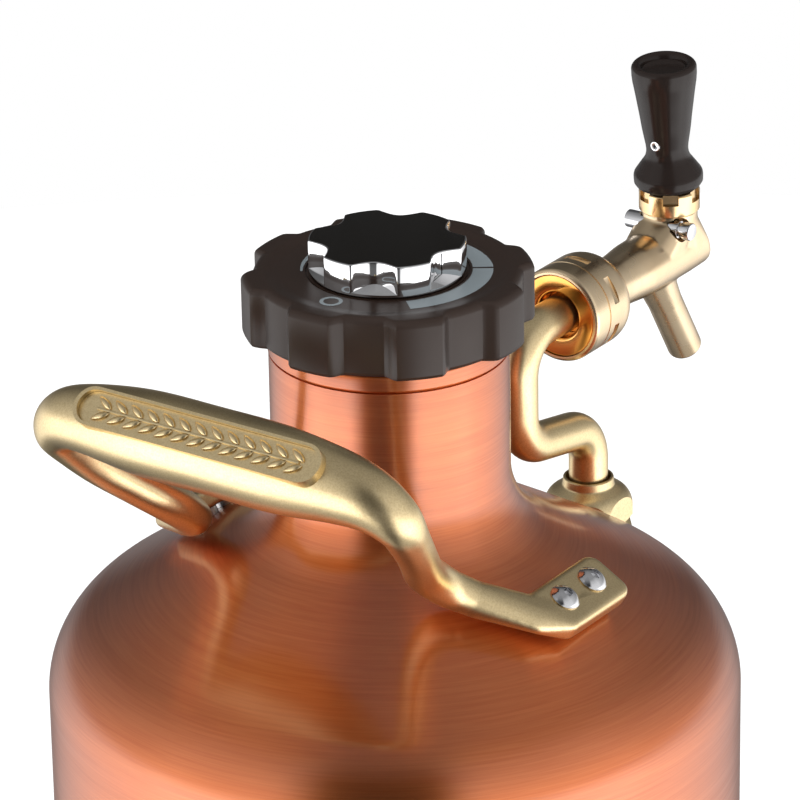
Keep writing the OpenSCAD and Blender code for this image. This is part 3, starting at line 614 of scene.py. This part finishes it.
# Half of the bar's centre line, from the middle of the grip to a foot: x, and y and z from the
# grip's axis and the lip line
HALF_PATH = [
    (0, 0, -0.8), (18, 0, -0.9), (33, -0.7, -1.6), (41, -1.3, -3.4), (45.8, -3.4, -7.8),
    (45.2, -8, -13.6), (43, -14, -20), (39.4, -20.8, -26.1), (36.2, -26.8, -31.2),
    (34.8, -32.4, -35.6), (35.6, -37.6, -39.8), (39.2, -41.9, -43), (44, -45.2, -45.7),
    (48, -48.5, -48),
]
# Half height and half depth of the bar at each of those points
HALF_SIZE = [
    (9.9, 9), (9.8, 9), (8.1, 8), (7, 6.6), (5.7, 5.4), (4.9, 4.8), (4.5, 4.5), (4.4, 4.5),
    (4.5, 4.6), (4.6, 4.6), (4.4, 4.6), (4, 4.6), (3, 3.9), (2.2, 3),
]
FOOT_X = 48.7
FOOT_Y = 2
PLATE_T = 5
PLATE_GAP = 1.6
SCREW_GAP = 11.1
SCREW_SEAT = PLATE_GAP + PLATE_T


def at_foot(side):
    """The frame of a foot: its Z is square to the shoulder, between its two screws."""
    return shift(side * FOOT_X, FOOT_Y, cone_height(FOOT_X)) @ turn(side * math.degrees(CONE_A), "Y")


def at_screws():
    """The frames of the four screws, on the shoulder's surface."""
    return [
        at_foot(side) @ shift(0, sign * SCREW_GAP / 2, 0) for side in (-1, 1) for sign in (-1, 1)
    ]


def at_badge():
    """The frame of the recess in the grip, its Z out of the upper back."""
    return shift(0, GRIP_Y, LIP - 0.8) @ turn(-45, "X") @ shift(0, 0, 9)


def stadium(half, r, low, high):
    """A slab with round ends, along X."""
    bm = bmesh.new()
    for z in (low, high):
        for sign in (-1, 1):
            for x, y in arc(sign * half, 0, r, 0, 360, 32)[:-1]:
                bm.verts.new((x, y, z))
    return hull(bm)


def slab_post(x, y, r):
    """A short round post of the plate's thickness, its edges rounded."""
    profile = rounded([(0, 0), (r, 0), (r, PLATE_T), (0, PLATE_T)], [0, 1.1, 1.3, 0], 5)
    return moved(lathe(profile, 48), shift(x, y, PLATE_GAP))


def foot_plate(side):
    """The pad under two screws, its outer near corner the roundest."""
    corners = ((4.4, -10.4, 3), (-2.4, -9.7, 3.5), (-2.8, 11.6, 3), (1.4, 6.8, 6))
    return hull(joined(*[slab_post(side * x, y, r) for x, y, r in corners]))


def foot_blend(side):
    """The bar's end widens into the plate's near end."""
    ball = lathe([(0, -4)] + [(r, z * 0.87) for r, z in arc(0, 0, 4.65, -80, 80, 12)] + [(0, 4)], 32)
    flat = lathe([(0, -2.8)] + [(r, z * 0.6) for r, z in arc(0, 0, 4.6, -80, 80, 12)] + [(0, 2.8)], 32)
    bm = joined(
        moved(ball, shift(side * 39.4, GRIP_Y - 42, LIP - 43.1)),
        moved(flat, at_foot(side) @ shift(side * -0.5, 14.2, PLATE_GAP + 2.6)),
        moved(slab_post(side * 3.6, 9, 3.8), at_foot(side)),
    )
    return hull(bm)


def build_handle():
    left = [(-x, y, z) for x, y, z in HALF_PATH[:0:-1]]
    path = [(x, GRIP_Y + y, LIP + z) for x, y, z in left + HALF_PATH]
    size = HALF_SIZE[:0:-1] + HALF_SIZE
    bar = sweep(spline(path, 10), spline(size, 10), 48)
    parts = [bar]
    for side in (-1, 1):
        parts += [moved(foot_plate(side), at_foot(side)), foot_blend(side)]
    body = fused(joined(*parts), grain=0.45, smoothing=9, share=0.4)
    body = combined(body, moved(stadium(28.2, 4.6, -4, 0.35), at_badge()), "UNION")
    body = cut(body, moved(stadium(27.9, 3.9, -1.2, 8), at_badge()))
    hole = [(0, 0), (1.9, 0), (1.9, SCREW_SEAT), (3.8, SCREW_SEAT), (3.8, 14), (0, 14)]
    for place in at_screws():
        body = cut(body, moved(lathe(hole, 64), place))
    mesh_piece("carrying_handle", body, "handle", sharp=42)


GRAIN_PAIRS = 13
GRAIN_STEP = 4.3
GRAIN_TIP = 0.03


def grain_shape(length, width, height):
    """A barley grain: a long body, fullest before its middle, tapering to both ends."""
    rows = 10
    points = [(length * (i / rows - 0.5), 0, 0) for i in range(rows + 1)]
    sizes = []
    for i in range(rows + 1):
        full = math.sin(math.pi * (i / rows) ** 0.8) ** 0.7
        sizes.append((max(GRAIN_TIP, height * full), max(GRAIN_TIP, width * full)))
    return sweep(points, sizes, 12)


def build_ornament():
    """The raised row of barley in the grip's recess, in place of any lettering."""
    parts = [moved(stadium(27.9, 3.85, -1.19, -0.75), at_badge())]
    stem = box((-27, -0.3, -0.9), (27, 0.3, -0.35))
    parts.append(moved(bevelled(stem, 0.12, 2), at_badge()))
    for i in range(GRAIN_PAIRS):
        for sign in (-1, 1):
            place = shift(-26 + i * GRAIN_STEP, sign * 1.65, -0.55) @ turn(sign * 30, "Z")
            parts.append(moved(grain_shape(4.6, 0.85, 0.75), at_badge() @ place))
    mesh_piece("barley_row", joined(*parts), "handle_ornament")


def build_handle_screws():
    head = [(0, -6), (1.5, -6), (1.5, 0), (3.3, 0), (3.5, 0.3)] + arc(0, -2.3, 4.35, 37, 90, 10)
    socket = [(0, 1), (1.25, 1), (1.25, 4), (0, 4)]
    parts = []
    for place, twist in zip(at_screws(), (-17, 17, -17, 17)):
        screw = bevelled(cut(lathe(head, 64), lathe(socket, 6)), 0.12, 2, angle=40)
        parts.append(moved(screw, place @ shift(0, 0, SCREW_SEAT) @ turn(twist, "Z")))
    mesh_piece("button_screws", joined(*parts), "handle_screws", sharp=30)


# ------------------------------------------------------------------ beer tube and tap


def tube_line():
    """The beer tube's centre line in the plane x = 0."""
    bend, tilt = 10, 11
    reach = bend * math.tan(math.radians(90 - tilt) / 2)
    fall = (NUT_Y - RUN_Y) / 2 * math.tan(math.radians(tilt))
    line = [(-NUT_Y, POCKET_Z + 5.4)]
    line += arc(-NUT_Y + bend, RUN_Z - fall - reach, bend, 180, 90 + tilt, 16)
    line += arc(-RUN_Y - bend, RUN_Z + fall + reach, bend, 270 + tilt, 360, 16)
    line += arc(-RUN_Y - bend, TAP_Z - bend, bend, 0, 90, 16)
    line += [(-76.2, TAP_Z)]
    return [(0, y, z) for y, z in line]


def build_tube():
    line = tube_line()
    outer = sweep(line, [(4.75, 4.75)] * len(line), 56, level=False)
    mesh_piece("beer_pipe", outer, "beer_tube", sharp=50)


def straight_rod(start, direction, length, r, end_round=0.0, segments=64):
    """A turned rod from a point, its far end's edge rounded."""
    profile = rounded([(0, 0), (r, 0), (r, length), (0, length)], [0, 0, end_round, 0], 5)
    place = Vector((0, 0, 1)).rotation_difference(Vector(direction)).to_matrix().to_4x4()
    return moved(lathe(profile, segments), Matrix.Translation(start) @ place)


NUT_SLOTS = 6
BARREL_R = 7.2
NECK_POST_R = 6.9  # the tap's upright part, under the ring nut
NOSE_LEAN = math.radians(16.7)
SPOUT_A = math.radians(31.6)
SPOUT_R = 4.25
SPOUT_DIR = Vector((0, -math.sin(SPOUT_A), -math.cos(SPOUT_A)))
SPOUT_TOP = Vector((0, -110.4, TAP_Z - 2))


def hull_of_discs(*discs):
    """The convex hull of discs given as (centre, normal, radius)."""
    bm = bmesh.new()
    for centre, normal, r in discs:
        place = Vector((0, 0, 1)).rotation_difference(Vector(normal)).to_matrix().to_4x4()
        for x, y in arc(0, 0, r, 0, 360, 48)[:-1]:
            bm.verts.new((Matrix.Translation(centre) @ place) @ Vector((x, y, 0)))
    return hull(bm)


def build_tap():
    barrel = [
        (0, 77.85), (9.5, 77.85), (9.5, 80.6), (6.3, 80.8), (6.3, 93), (6.6, 97), (7.1, 102),
        (BARREL_R, 106), (BARREL_R, 122), (0, 122),
    ]
    parts = [
        moved(lathe(barrel, 96), shift(0, 0, TAP_Z) @ ALONG_TAP),
        straight_rod((0, -TAP_Y, TAP_Z), (0, 0, 1), SEAT_Z - TAP_Z, NECK_POST_R),
        hull_of_discs(
            ((0, -TAP_Y, SEAT_Z - 2.5), (0, 0, 1), NECK_POST_R),
            ((0, -121, TAP_Z), (0, 1, 0), BARREL_R),
            ((0, -126.72, TAP_Z), (0, 1, -math.tan(NOSE_LEAN)), BARREL_R),
        ),
        hull_of_discs(
            ((0, -TAP_Y, SEAT_Z - 1.5), (0, 0, 1), NECK_POST_R),
            ((0, -107.5, TAP_Z), (0, 1, 0), NECK_POST_R),
            ((0, -113.5, TAP_Z), (0, 1, 0), NECK_POST_R),
        ),
        hull_of_discs((SPOUT_TOP, SPOUT_DIR, 5.2), (SPOUT_TOP + SPOUT_DIR * 15, SPOUT_DIR, 4.1)),
    ]
    body = fused(joined(*parts), grain=0.33, smoothing=10, share=0.4)
    spout = straight_rod(
        SPOUT_TOP + SPOUT_DIR * 3, SPOUT_DIR, 27.95, SPOUT_R, end_round=0.7, segments=96
    )
    body = combined(body, spout, "UNION")
    pin_hole = [(0, -14), (2.9, -14), (2.9, -4.5), (2.5, -4.5)]
    pin_hole += [(r, -x) for r, x in pin_hole[::-1]]
    body = cut(
        body,
        straight_rod(SPOUT_TOP + SPOUT_DIR * 12, SPOUT_DIR, 25, 3.1),
        straight_rod((0, -TAP_Y, TAP_Z + 6), (0, 0, 1), 12, 4.4),
        moved(lathe(pin_hole, 64), shift(0, -PIN_Y, PIN_Z) @ turn(90, "Y")),
        straight_rod((0, -76, TAP_Z), (0, -1, 0), 24, 4.8),
    )
    mesh_piece("tap_casting", body, "tap_body", sharp=42, material="tap_brass")

    bonnet = rounded(
        [(3.6, 0.02), (7.4, 0.02), (7.4, 4.9), (7, 5.4), (2.9, 5.4), (2.9, 4.9), (3.6, 4.2)],
        [0, 0.15, 0.25, 0.25, 0, 0, 0], 3, closed=True,
    )
    nut = lathe(bonnet, 128, closed=True)
    for k in range(NUT_SLOTS):
        notch = box((6.5, -1.9, 2.9), (8.6, 1.9, 5.9))
        nut = cut(nut, moved(notch, turn(360 / NUT_SLOTS * k + 5, "Z")))
    nut = cut(nut, box((-5, -1.6, -1), (5, 1.6, 4.2)))
    nut = moved(nut, shift(0, -TAP_Y, SEAT_Z))
    mesh_piece("notched_nut", nut, "tap_bonnet", sharp=30, material="bonnet_brass")

    pin = [
        (0, -9.1), (2.2, -9.1), (2.2, -6.6), (1.7, -6.5),
        (1.7, -5.9), (2.2, -5.8), (2.2, 9.1), (0, 9.1),
    ]
    pin = rounded(pin, [0, 0.35, 0.1, 0.05, 0.05, 0.1, 0.35, 0], 3)
    rod = moved(lathe(pin, 64), shift(-0.2, 0, 0) @ turn(90, "Y"))
    rod = cut(rod, box((-4.8, -3, -3), (4.8, 1.2, 3)))
    mesh_piece("cross_pin", moved(rod, shift(0, -PIN_Y, PIN_Z)), "lock_pin", sharp=30)


def build_coupling():
    profile = [(6.75, 88), (6.75, 80.7), (10.3, 80.7), (10.3, 69.1), (10.8, 69.1)]
    profile += arc(10.5, 70.2, 1.1, -70, 0, 6)
    profile += [(11.6, 74.4), (11.35, 74.5), (11.35, 74.8), (11.6, 74.9)]
    profile += [(r, y) for y, r in arc(81.5, 6.1, 5.5, 90, 8, 14)]
    nut = lathe(profile, 160, closed=True)
    for k in range(NUT_SLOTS):
        slot = bevelled(box((-3.4, 10.9, 77), (3.4, 14, 79)), 0.25, 2)
        nut = cut(nut, moved(slot, turn(360 / NUT_SLOTS * k, "Z")))
    place = shift(0, 0, TAP_Z) @ ALONG_TAP
    mesh_piece("union_nut", moved(nut, place), "coupling_nut", sharp=32, material="tap_brass")
    ring = [(5.7, 69.4), (10.2, 69.4), (10.2, 74), (5.7, 74)]
    ring = rounded(ring, [0.8, 0.4, 0.1, 0.1], 5, closed=True)
    mesh_piece("rear_ring", moved(lathe(ring, 128, closed=True), place), "coupling_ring")


def build_shoulder_nut():
    bm = lathe([(0, 0), (10.9, 0), (10.9, 11), (0, 11)], 6)
    moved(bm, turn(30, "Z"))
    round_form = [(0, 0), (9.6, 0), (10.7, 0.8), (10.7, 3.4)] + arc(5.9, 3.4, 4.8, 0, 62, 12)
    round_form += rounded([(8.15, 7.64), (6.3, 8.6), (6.1, 10.7), (0, 10.7)], [0, 0.6, 0.3, 0], 4)[1:]
    bm = combined(bm, lathe(round_form, 144), "INTERSECT")
    bm = cut(
        bm,
        lathe([(0, -1), (7, -1), (7, 6.9), (0, 6.9)], 96),
        lathe([(0, -1), (5.5, -1), (5.5, 13), (0, 13)], 96),
    )
    bm = moved(bevelled(bm, 0.12, 2, angle=25), shift(0, -NUT_Y, POCKET_Z + 0.2))
    mesh_piece("hex_nut", bm, "shoulder_nut", sharp=28)


LEVER_LEAN = 4.5


def at_lever():
    return shift(0, -TAP_Y, BALL_Z) @ turn(-LEVER_LEAN, "X")


def build_lever():
    grip_low, screw_up = 3.8, 11.8
    profile = [
        (1.5, 2.4), (5.6, 2.4), (7.3, 0), (7.9, 0.2), (8.35, 0.9), (8.35, 2.8), (7.6, 4.1), (6.5, 5.7),
        (5.5, 7.2), (5.1, 8.8), (5.15, 10.3), (5.4, 11.9), (5.9, 14.9), (6.3, 18), (6.75, 21.1),
        (7.2, 24.2), (7.7, 27.3), (7.85, 28.9),
    ]
    smooth = spline(profile[4:-1], 4)
    top = [(7.85, 28.9)] + arc(6.6, 30.5, 1.28, 8, 90, 8)
    dish = [(6.2, 31.72), (5.7, 31.45), (5.35, 30.9), (5.2, 30.3), (4.6, 29.9), (3, 29.75), (0, 29.7)]
    grip = lathe(profile[:4] + smooth + top + dish, 144)
    into_side = shift(0, 4.2, screw_up) @ turn(-90, "X")
    hole = moved(lathe([(0, 0), (1.32, 0), (1.32, 4), (0, 4)], 48), into_side)
    place = at_lever() @ shift(0, 0, grip_low)
    mesh_piece("tap_grip", moved(cut(grip, hole), place), "tap_handle", sharp=35)

    screw = rounded([(0.72, 0.3), (1.28, 0.3), (1.28, 1.2), (0.72, 1.2)], 0.12, 3, closed=True)
    screw = lathe(screw, 48, closed=True)
    floor = lathe([(0, 0.2), (1.28, 0.2), (1.28, 0.5), (0, 0.5)], 48)
    mesh_piece("set_screw", moved(joined(screw, floor), place @ into_side), "handle_ring")


# ------------------------------------------------------------------ cap and dial


def lobe_shape(theta, count, phase, low, high, half_top, half_root):
    """The radius of a lobed outline: high on the lobes, low between, with eased flanks."""
    step = 2 * math.pi / count
    off = abs((theta - phase + step / 2) % step - step / 2)
    if off <= half_top:
        return high
    if off >= half_root:
        return low
    t = (off - half_top) / (half_root - half_top)
    return high + (low - high) * t * t * (3 - 2 * t)


def cap_outline(theta):
    return lobe_shape(
        theta, count=8, phase=math.radians(2), low=30.5, high=33.1,
        half_top=math.radians(8.6), half_root=math.radians(14.4),
    )


def build_cap():
    rim_r = 1.9
    layers = [(CAP_Z, 1.3), (CAP_Z + 0.35, 0.45), (CAP_Z + 1.1, 0.06)]
    for step in range(10, 90, 10):
        a = math.radians(step)
        layers.append((RIM_Z - rim_r + rim_r * math.sin(a), rim_r - rim_r * math.cos(a)))
    layers += [(RIM_Z, rim_r + 0.4), (RIM_Z, rim_r + 1.2)]
    cap = stacked(cap_outline, layers, 360)
    dish = [(0, FACE_Z), (18.1, FACE_Z), (18.15, FACE_Z - 0.35), (18.55, FACE_Z - 0.35), (18.6, FACE_Z)]
    dish += [(24.2 + 4.4 * t, FACE_Z + 0.62 * t * t * (3 - 2 * t)) for t in (k / 10 for k in range(11))]
    dish = lathe(dish + [(28.6, RIM_Z + 3), (0, RIM_Z + 3)], 192)
    inside = lathe([(0, CAP_Z - 1), (26, CAP_Z - 1), (26, CAP_Z + 11.3), (0, CAP_Z + 11.3)], 160)
    bore = lathe([(0, CAP_Z), (3.06, CAP_Z), (3.06, RIM_Z + 5), (0, RIM_Z + 5)], 64)
    cap = cut(cap, dish, inside, bore)
    for azimuth in (90, 210, 330):
        x, y = 13.4 * math.cos(math.radians(azimuth)), 13.4 * math.sin(math.radians(azimuth))
        sunk = [(0, 8), (1.6, 8), (1.6, 12.3), (2.8, 12.3), (2.8, 20), (0, 20)]
        cap = cut(cap, moved(lathe(sunk, 48), shift(x, y, CAP_Z)))
    mesh_piece("cap_body", cap, "cap_shell", sharp=24)


DIAL_LOBES = 6
DIAL_PHASE = math.radians(24.5)
HOLLOW_R = 14.5  # at the middle of the hollow between two lobes
HOLLOW_DEPTH = 3.3
HOLLOW_HALF = math.radians(17)


def dial_outline(theta):
    """Lobes with a hollow scooped out between each pair."""
    step = 2 * math.pi / DIAL_LOBES

    def sharp(t):
        off = abs((t - DIAL_PHASE + step / 2) % step - step / 2)
        inward = (step / 2 - off) / HOLLOW_HALF
        return HOLLOW_R + HOLLOW_DEPTH * min(1, inward * inward)

    return sum(sharp(theta + math.radians(d)) for d in (-1, -0.5, 0, 0.5, 1)) / 5


def build_dial():
    low, high = FACE_Z + 0.3, LIP + 26.3
    layers = [(low + 0.5, 0), (high - 0.5, 0)]
    layers += [(high - 0.15, 0.12), (high - 0.02, 0.4), (high - 0.02, 0.7)]
    skirt = stacked(dial_outline, layers, 360)
    flange = [(0, low), (17.5, low), (17.75, low + 0.15)]
    flange += [(17.75, low + 0.7), (14.2, low + 2.2), (0, low + 2.2)]
    skirt = combined(skirt, lathe(flange, 192), "UNION")
    recess = stacked(lambda t: dial_outline(t) - 0.42, [(high - 0.8, 0), (high + 4, 0)], 360)
    hollow = lathe([(0, low - 1), (12.6, low - 1), (12.6, low + 5.4), (0, low + 5.4)], 128)
    post = lathe([(0, low), (2.9, low), (2.9, low + 20), (0, low + 20)], 4)
    mesh_piece("dial_knob", cut(skirt, recess, hollow, post), "dial_skirt", sharp=28)
    disc = stacked(
        lambda t: dial_outline(t) - 0.45,
        [(high - 0.75, 0), (high - 0.12, 0), (high, 0.1), (high + 0.02, 0.5)],
        360,
    )
    mesh_piece("dial_disc", disc, "dial_top", sharp=28)


def build_scale():
    """The printed wedge that grows with the pressure, its division line, and the shut-off ring."""
    bm = bmesh.new()
    start, sweep_deg, steps, line_step = 35, 258, 120, 83
    inner_r, narrow_r, growth, full_at = 19.1, 19.6, 4.1, 0.68
    low, high = FACE_Z - 0.02, FACE_Z + 0.04

    def wedge(i0, i1):
        bottom, top = [], []
        for i in range(i0, i1 + 1):
            a = math.radians(start - i * sweep_deg / steps)
            outer_r = narrow_r + growth * min(1, i / (steps * full_at))
            for radius, row in ((inner_r, bottom), (outer_r, top)):
                row.append((radius * math.cos(a), radius * math.sin(a)))
        for k in range(len(top) - 1):
            quad = [bottom[k], bottom[k + 1], top[k + 1], top[k]]
            lower = [bm.verts.new((x, y, low)) for x, y in quad]
            upper = [bm.verts.new((x, y, high)) for x, y in quad]
            bm.faces.new(upper)
            bm.faces.new(lower[::-1])
            for m in range(4):
                bm.faces.new((lower[m], lower[(m + 1) % 4], upper[(m + 1) % 4], upper[m]))

    wedge(0, line_step)
    wedge(line_step + 1, steps)
    bmesh.ops.remove_doubles(bm, verts=bm.verts, dist=0.0005)
    inner_faces = [f for f in bm.faces if all(len(e.link_faces) > 2 for e in f.edges)]
    bmesh.ops.delete(bm, geom=inner_faces, context="FACES_ONLY")
    bmesh.ops.recalc_face_normals(bm, faces=bm.faces)
    ring = moved(
        lathe([(1.75, low), (2.6, low), (2.6, high), (1.75, high)], 64, closed=True), shift(0, 22, 0)
    )
    mesh_piece("pressure_scale", joined(bm, ring), "scale_marks", sharp=30)


# ------------------------------------------------------------------ everything, in order

build_vessel()
build_handle()
build_ornament()
build_handle_screws()
build_tube()
build_tap()
build_coupling()
build_shoulder_nut()
build_lever()
build_cap()
build_dial()
build_scale()


def refined(node, sharp=30):
    """A CAD node shown as it is, welded and shaded smooth up to an angle."""
    bm = bmesh.new()
    bm.from_mesh(frame["nodes"][node].data)
    bmesh.ops.remove_doubles(bm, verts=bm.verts, dist=TINY)
    bm.transform(Matrix.Scale(TO_MM, 4))
    mesh_piece(node + "_shown", bm, node, sharp)


replaced = {
    n for o in bpy.data.objects if o.get("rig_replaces") for n in o["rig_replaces"]
}
for node in sorted(frame["nodes"]):
    if node not in replaced:
        refined(node)


# ------------------------------------------------------------------ floor, light, camera


def build_floor():
    bm = lathe([(0, -1), (900, -1), (900, -0.2), (0, -0.2)], 128)
    bm.transform(Matrix.Scale(MM, 4))
    floor = placed("floor", bm)
    material = bpy.data.materials.new("floor")
    material.use_nodes = True
    shader = material.node_tree.nodes["Principled BSDF"]
    shader.inputs["Base Color"].default_value = (0.86, 0.86, 0.855, 1)
    shader.inputs["Roughness"].default_value = 0.9
    floor.data.materials.append(material)
    floor.visible_glossy = False


VIEW_AZIMUTH = 215
VIEW_ELEVATION = 23.59
VIEW_ROLL = 0.97
VIEW_DISTANCE = 1.25
VIEW_LENS = 248.27
# What the camera looks at: mm to its right of the neck's axis, mm below the lip.
TARGET_RIGHT = 2.26
TARGET_BELOW_LIP = 13.27


def direction(azimuth, elevation):
    a, e = math.radians(azimuth), math.radians(elevation)
    return Vector((math.sin(a) * math.cos(e), -math.cos(a) * math.cos(e), math.sin(e)))


def build_camera():
    azimuth, roll = math.radians(VIEW_AZIMUTH), math.radians(VIEW_ROLL)
    back = direction(VIEW_AZIMUTH, VIEW_ELEVATION)
    level = Vector((math.cos(azimuth), math.sin(azimuth), 0))
    up = back.cross(level)
    right = math.cos(roll) * level - math.sin(roll) * up
    upward = math.sin(roll) * level + math.cos(roll) * up
    target = level * TARGET_RIGHT * MM + Vector((0, 0, (LIP - TARGET_BELOW_LIP) * MM))
    data = bpy.data.cameras.new("camera")
    data.lens = VIEW_LENS
    data.sensor_width = 36
    data.clip_start = 0.05
    camera = bpy.data.objects.new("camera", data)
    bpy.context.scene.collection.objects.link(camera)
    place = Matrix((right, upward, back)).transposed().to_4x4()
    place.translation = target + back * VIEW_DISTANCE
    camera.matrix_world = place
    bpy.context.scene.camera = camera


def ramp(tree, value, stops):
    """A value read off a line through stops (position 0 to 1, brightness)."""
    made = tree.nodes.new("ShaderNodeValToRGB")
    row = made.color_ramp.elements
    row[0].position, row[1].position = stops[0][0], stops[-1][0]
    for place, _ in stops[1:-1]:
        row.new(place)
    for element, (_, level) in zip(row, stops):
        element.color = (level, level, level, 1)
    tree.links.new(value, made.inputs["Fac"])
    return made.outputs["Color"]


def math_node(tree, operation, *values):
    made = tree.nodes.new("ShaderNodeMath")
    made.operation = operation
    for socket, value in zip(made.inputs, values):
        if isinstance(value, (int, float)):
            socket.default_value = value
        else:
            tree.links.new(value, socket)
    return made.outputs[0]


# Brightness of the studio by azimuth (0 where the camera stands, + to its right) and elevation.
ROUND = [
    (-180, 0.1), (-160, 0.1), (-125, 0.45), (-88, 0.8), (-76, 1.0), (-38, 1.0), (-24, 0.05),
    (14, 0.05), (25, 1.0), (76, 1.0), (88, 0.8), (125, 0.45), (160, 0.1), (180, 0.1),
]
UPWARD = [
    (-90, 0.7), (-48, 0.9), (-38, 4.2), (-8, 4.2), (4, 1.4), (30, 1.2), (44, 0.8), (60, 0.1), (90, 0.0),
]
OVERHEAD = [(-90, 0.0), (35, 0.0), (60, 0.25), (90, 0.32)]
SIDE_POWER = 0.62
FLOOR_POWER = 1.5


def build_light():
    """A white studio: tall soft boxes either side of the camera, a dim ceiling, a white cove."""
    world = bpy.data.worlds.new("studio")
    world.use_nodes = True
    bpy.context.scene.world = world
    tree = world.node_tree
    way = tree.nodes.new("ShaderNodeTexCoord").outputs["Generated"]
    flat = {}
    for name, angle in (("ahead", VIEW_AZIMUTH), ("right", VIEW_AZIMUTH + 90)):
        dot = tree.nodes.new("ShaderNodeVectorMath")
        dot.operation = "DOT_PRODUCT"
        tree.links.new(way, dot.inputs[0])
        dot.inputs[1].default_value = direction(angle, 0)
        flat[name] = dot.outputs["Value"]
    split = tree.nodes.new("ShaderNodeSeparateXYZ")
    tree.links.new(way, split.inputs[0])
    azimuth = math_node(tree, "ARCTAN2", flat["right"], flat["ahead"])
    azimuth = math_node(tree, "MULTIPLY_ADD", azimuth, 0.5 / math.pi, 0.5)
    height = math_node(tree, "ARCSINE", split.outputs["Z"])
    height = math_node(tree, "MULTIPLY_ADD", height, 1 / math.pi, 0.5)
    around = ramp(tree, azimuth, [((a + 180) / 360, level) for a, level in ROUND])
    upward = ramp(tree, height, [((e + 90) / 180, level) for e, level in UPWARD])
    above = ramp(tree, height, [((e + 90) / 180, level) for e, level in OVERHEAD])
    level = math_node(tree, "MULTIPLY", around, upward)
    level = math_node(tree, "MULTIPLY", level, SIDE_POWER)
    level = math_node(tree, "ADD", level, above)
    path = tree.nodes.new("ShaderNodeLightPath")
    plain = math_node(tree, "MULTIPLY", path.outputs["Is Diffuse Ray"], FLOOR_POWER)
    plain = math_node(tree, "ADD", plain, path.outputs["Is Camera Ray"])
    glossy = math_node(tree, "SUBTRACT", 1, math_node(tree, "MINIMUM", plain, 1))
    strength = math_node(tree, "MULTIPLY_ADD", level, glossy, plain)
    tree.links.new(strength, tree.nodes["Background"].inputs["Strength"])
    tree.nodes["Background"].inputs["Color"].default_value = (1, 1, 1, 1)
    bpy.context.scene.view_settings.view_transform = "Standard"


build_floor()
build_light()
build_camera()
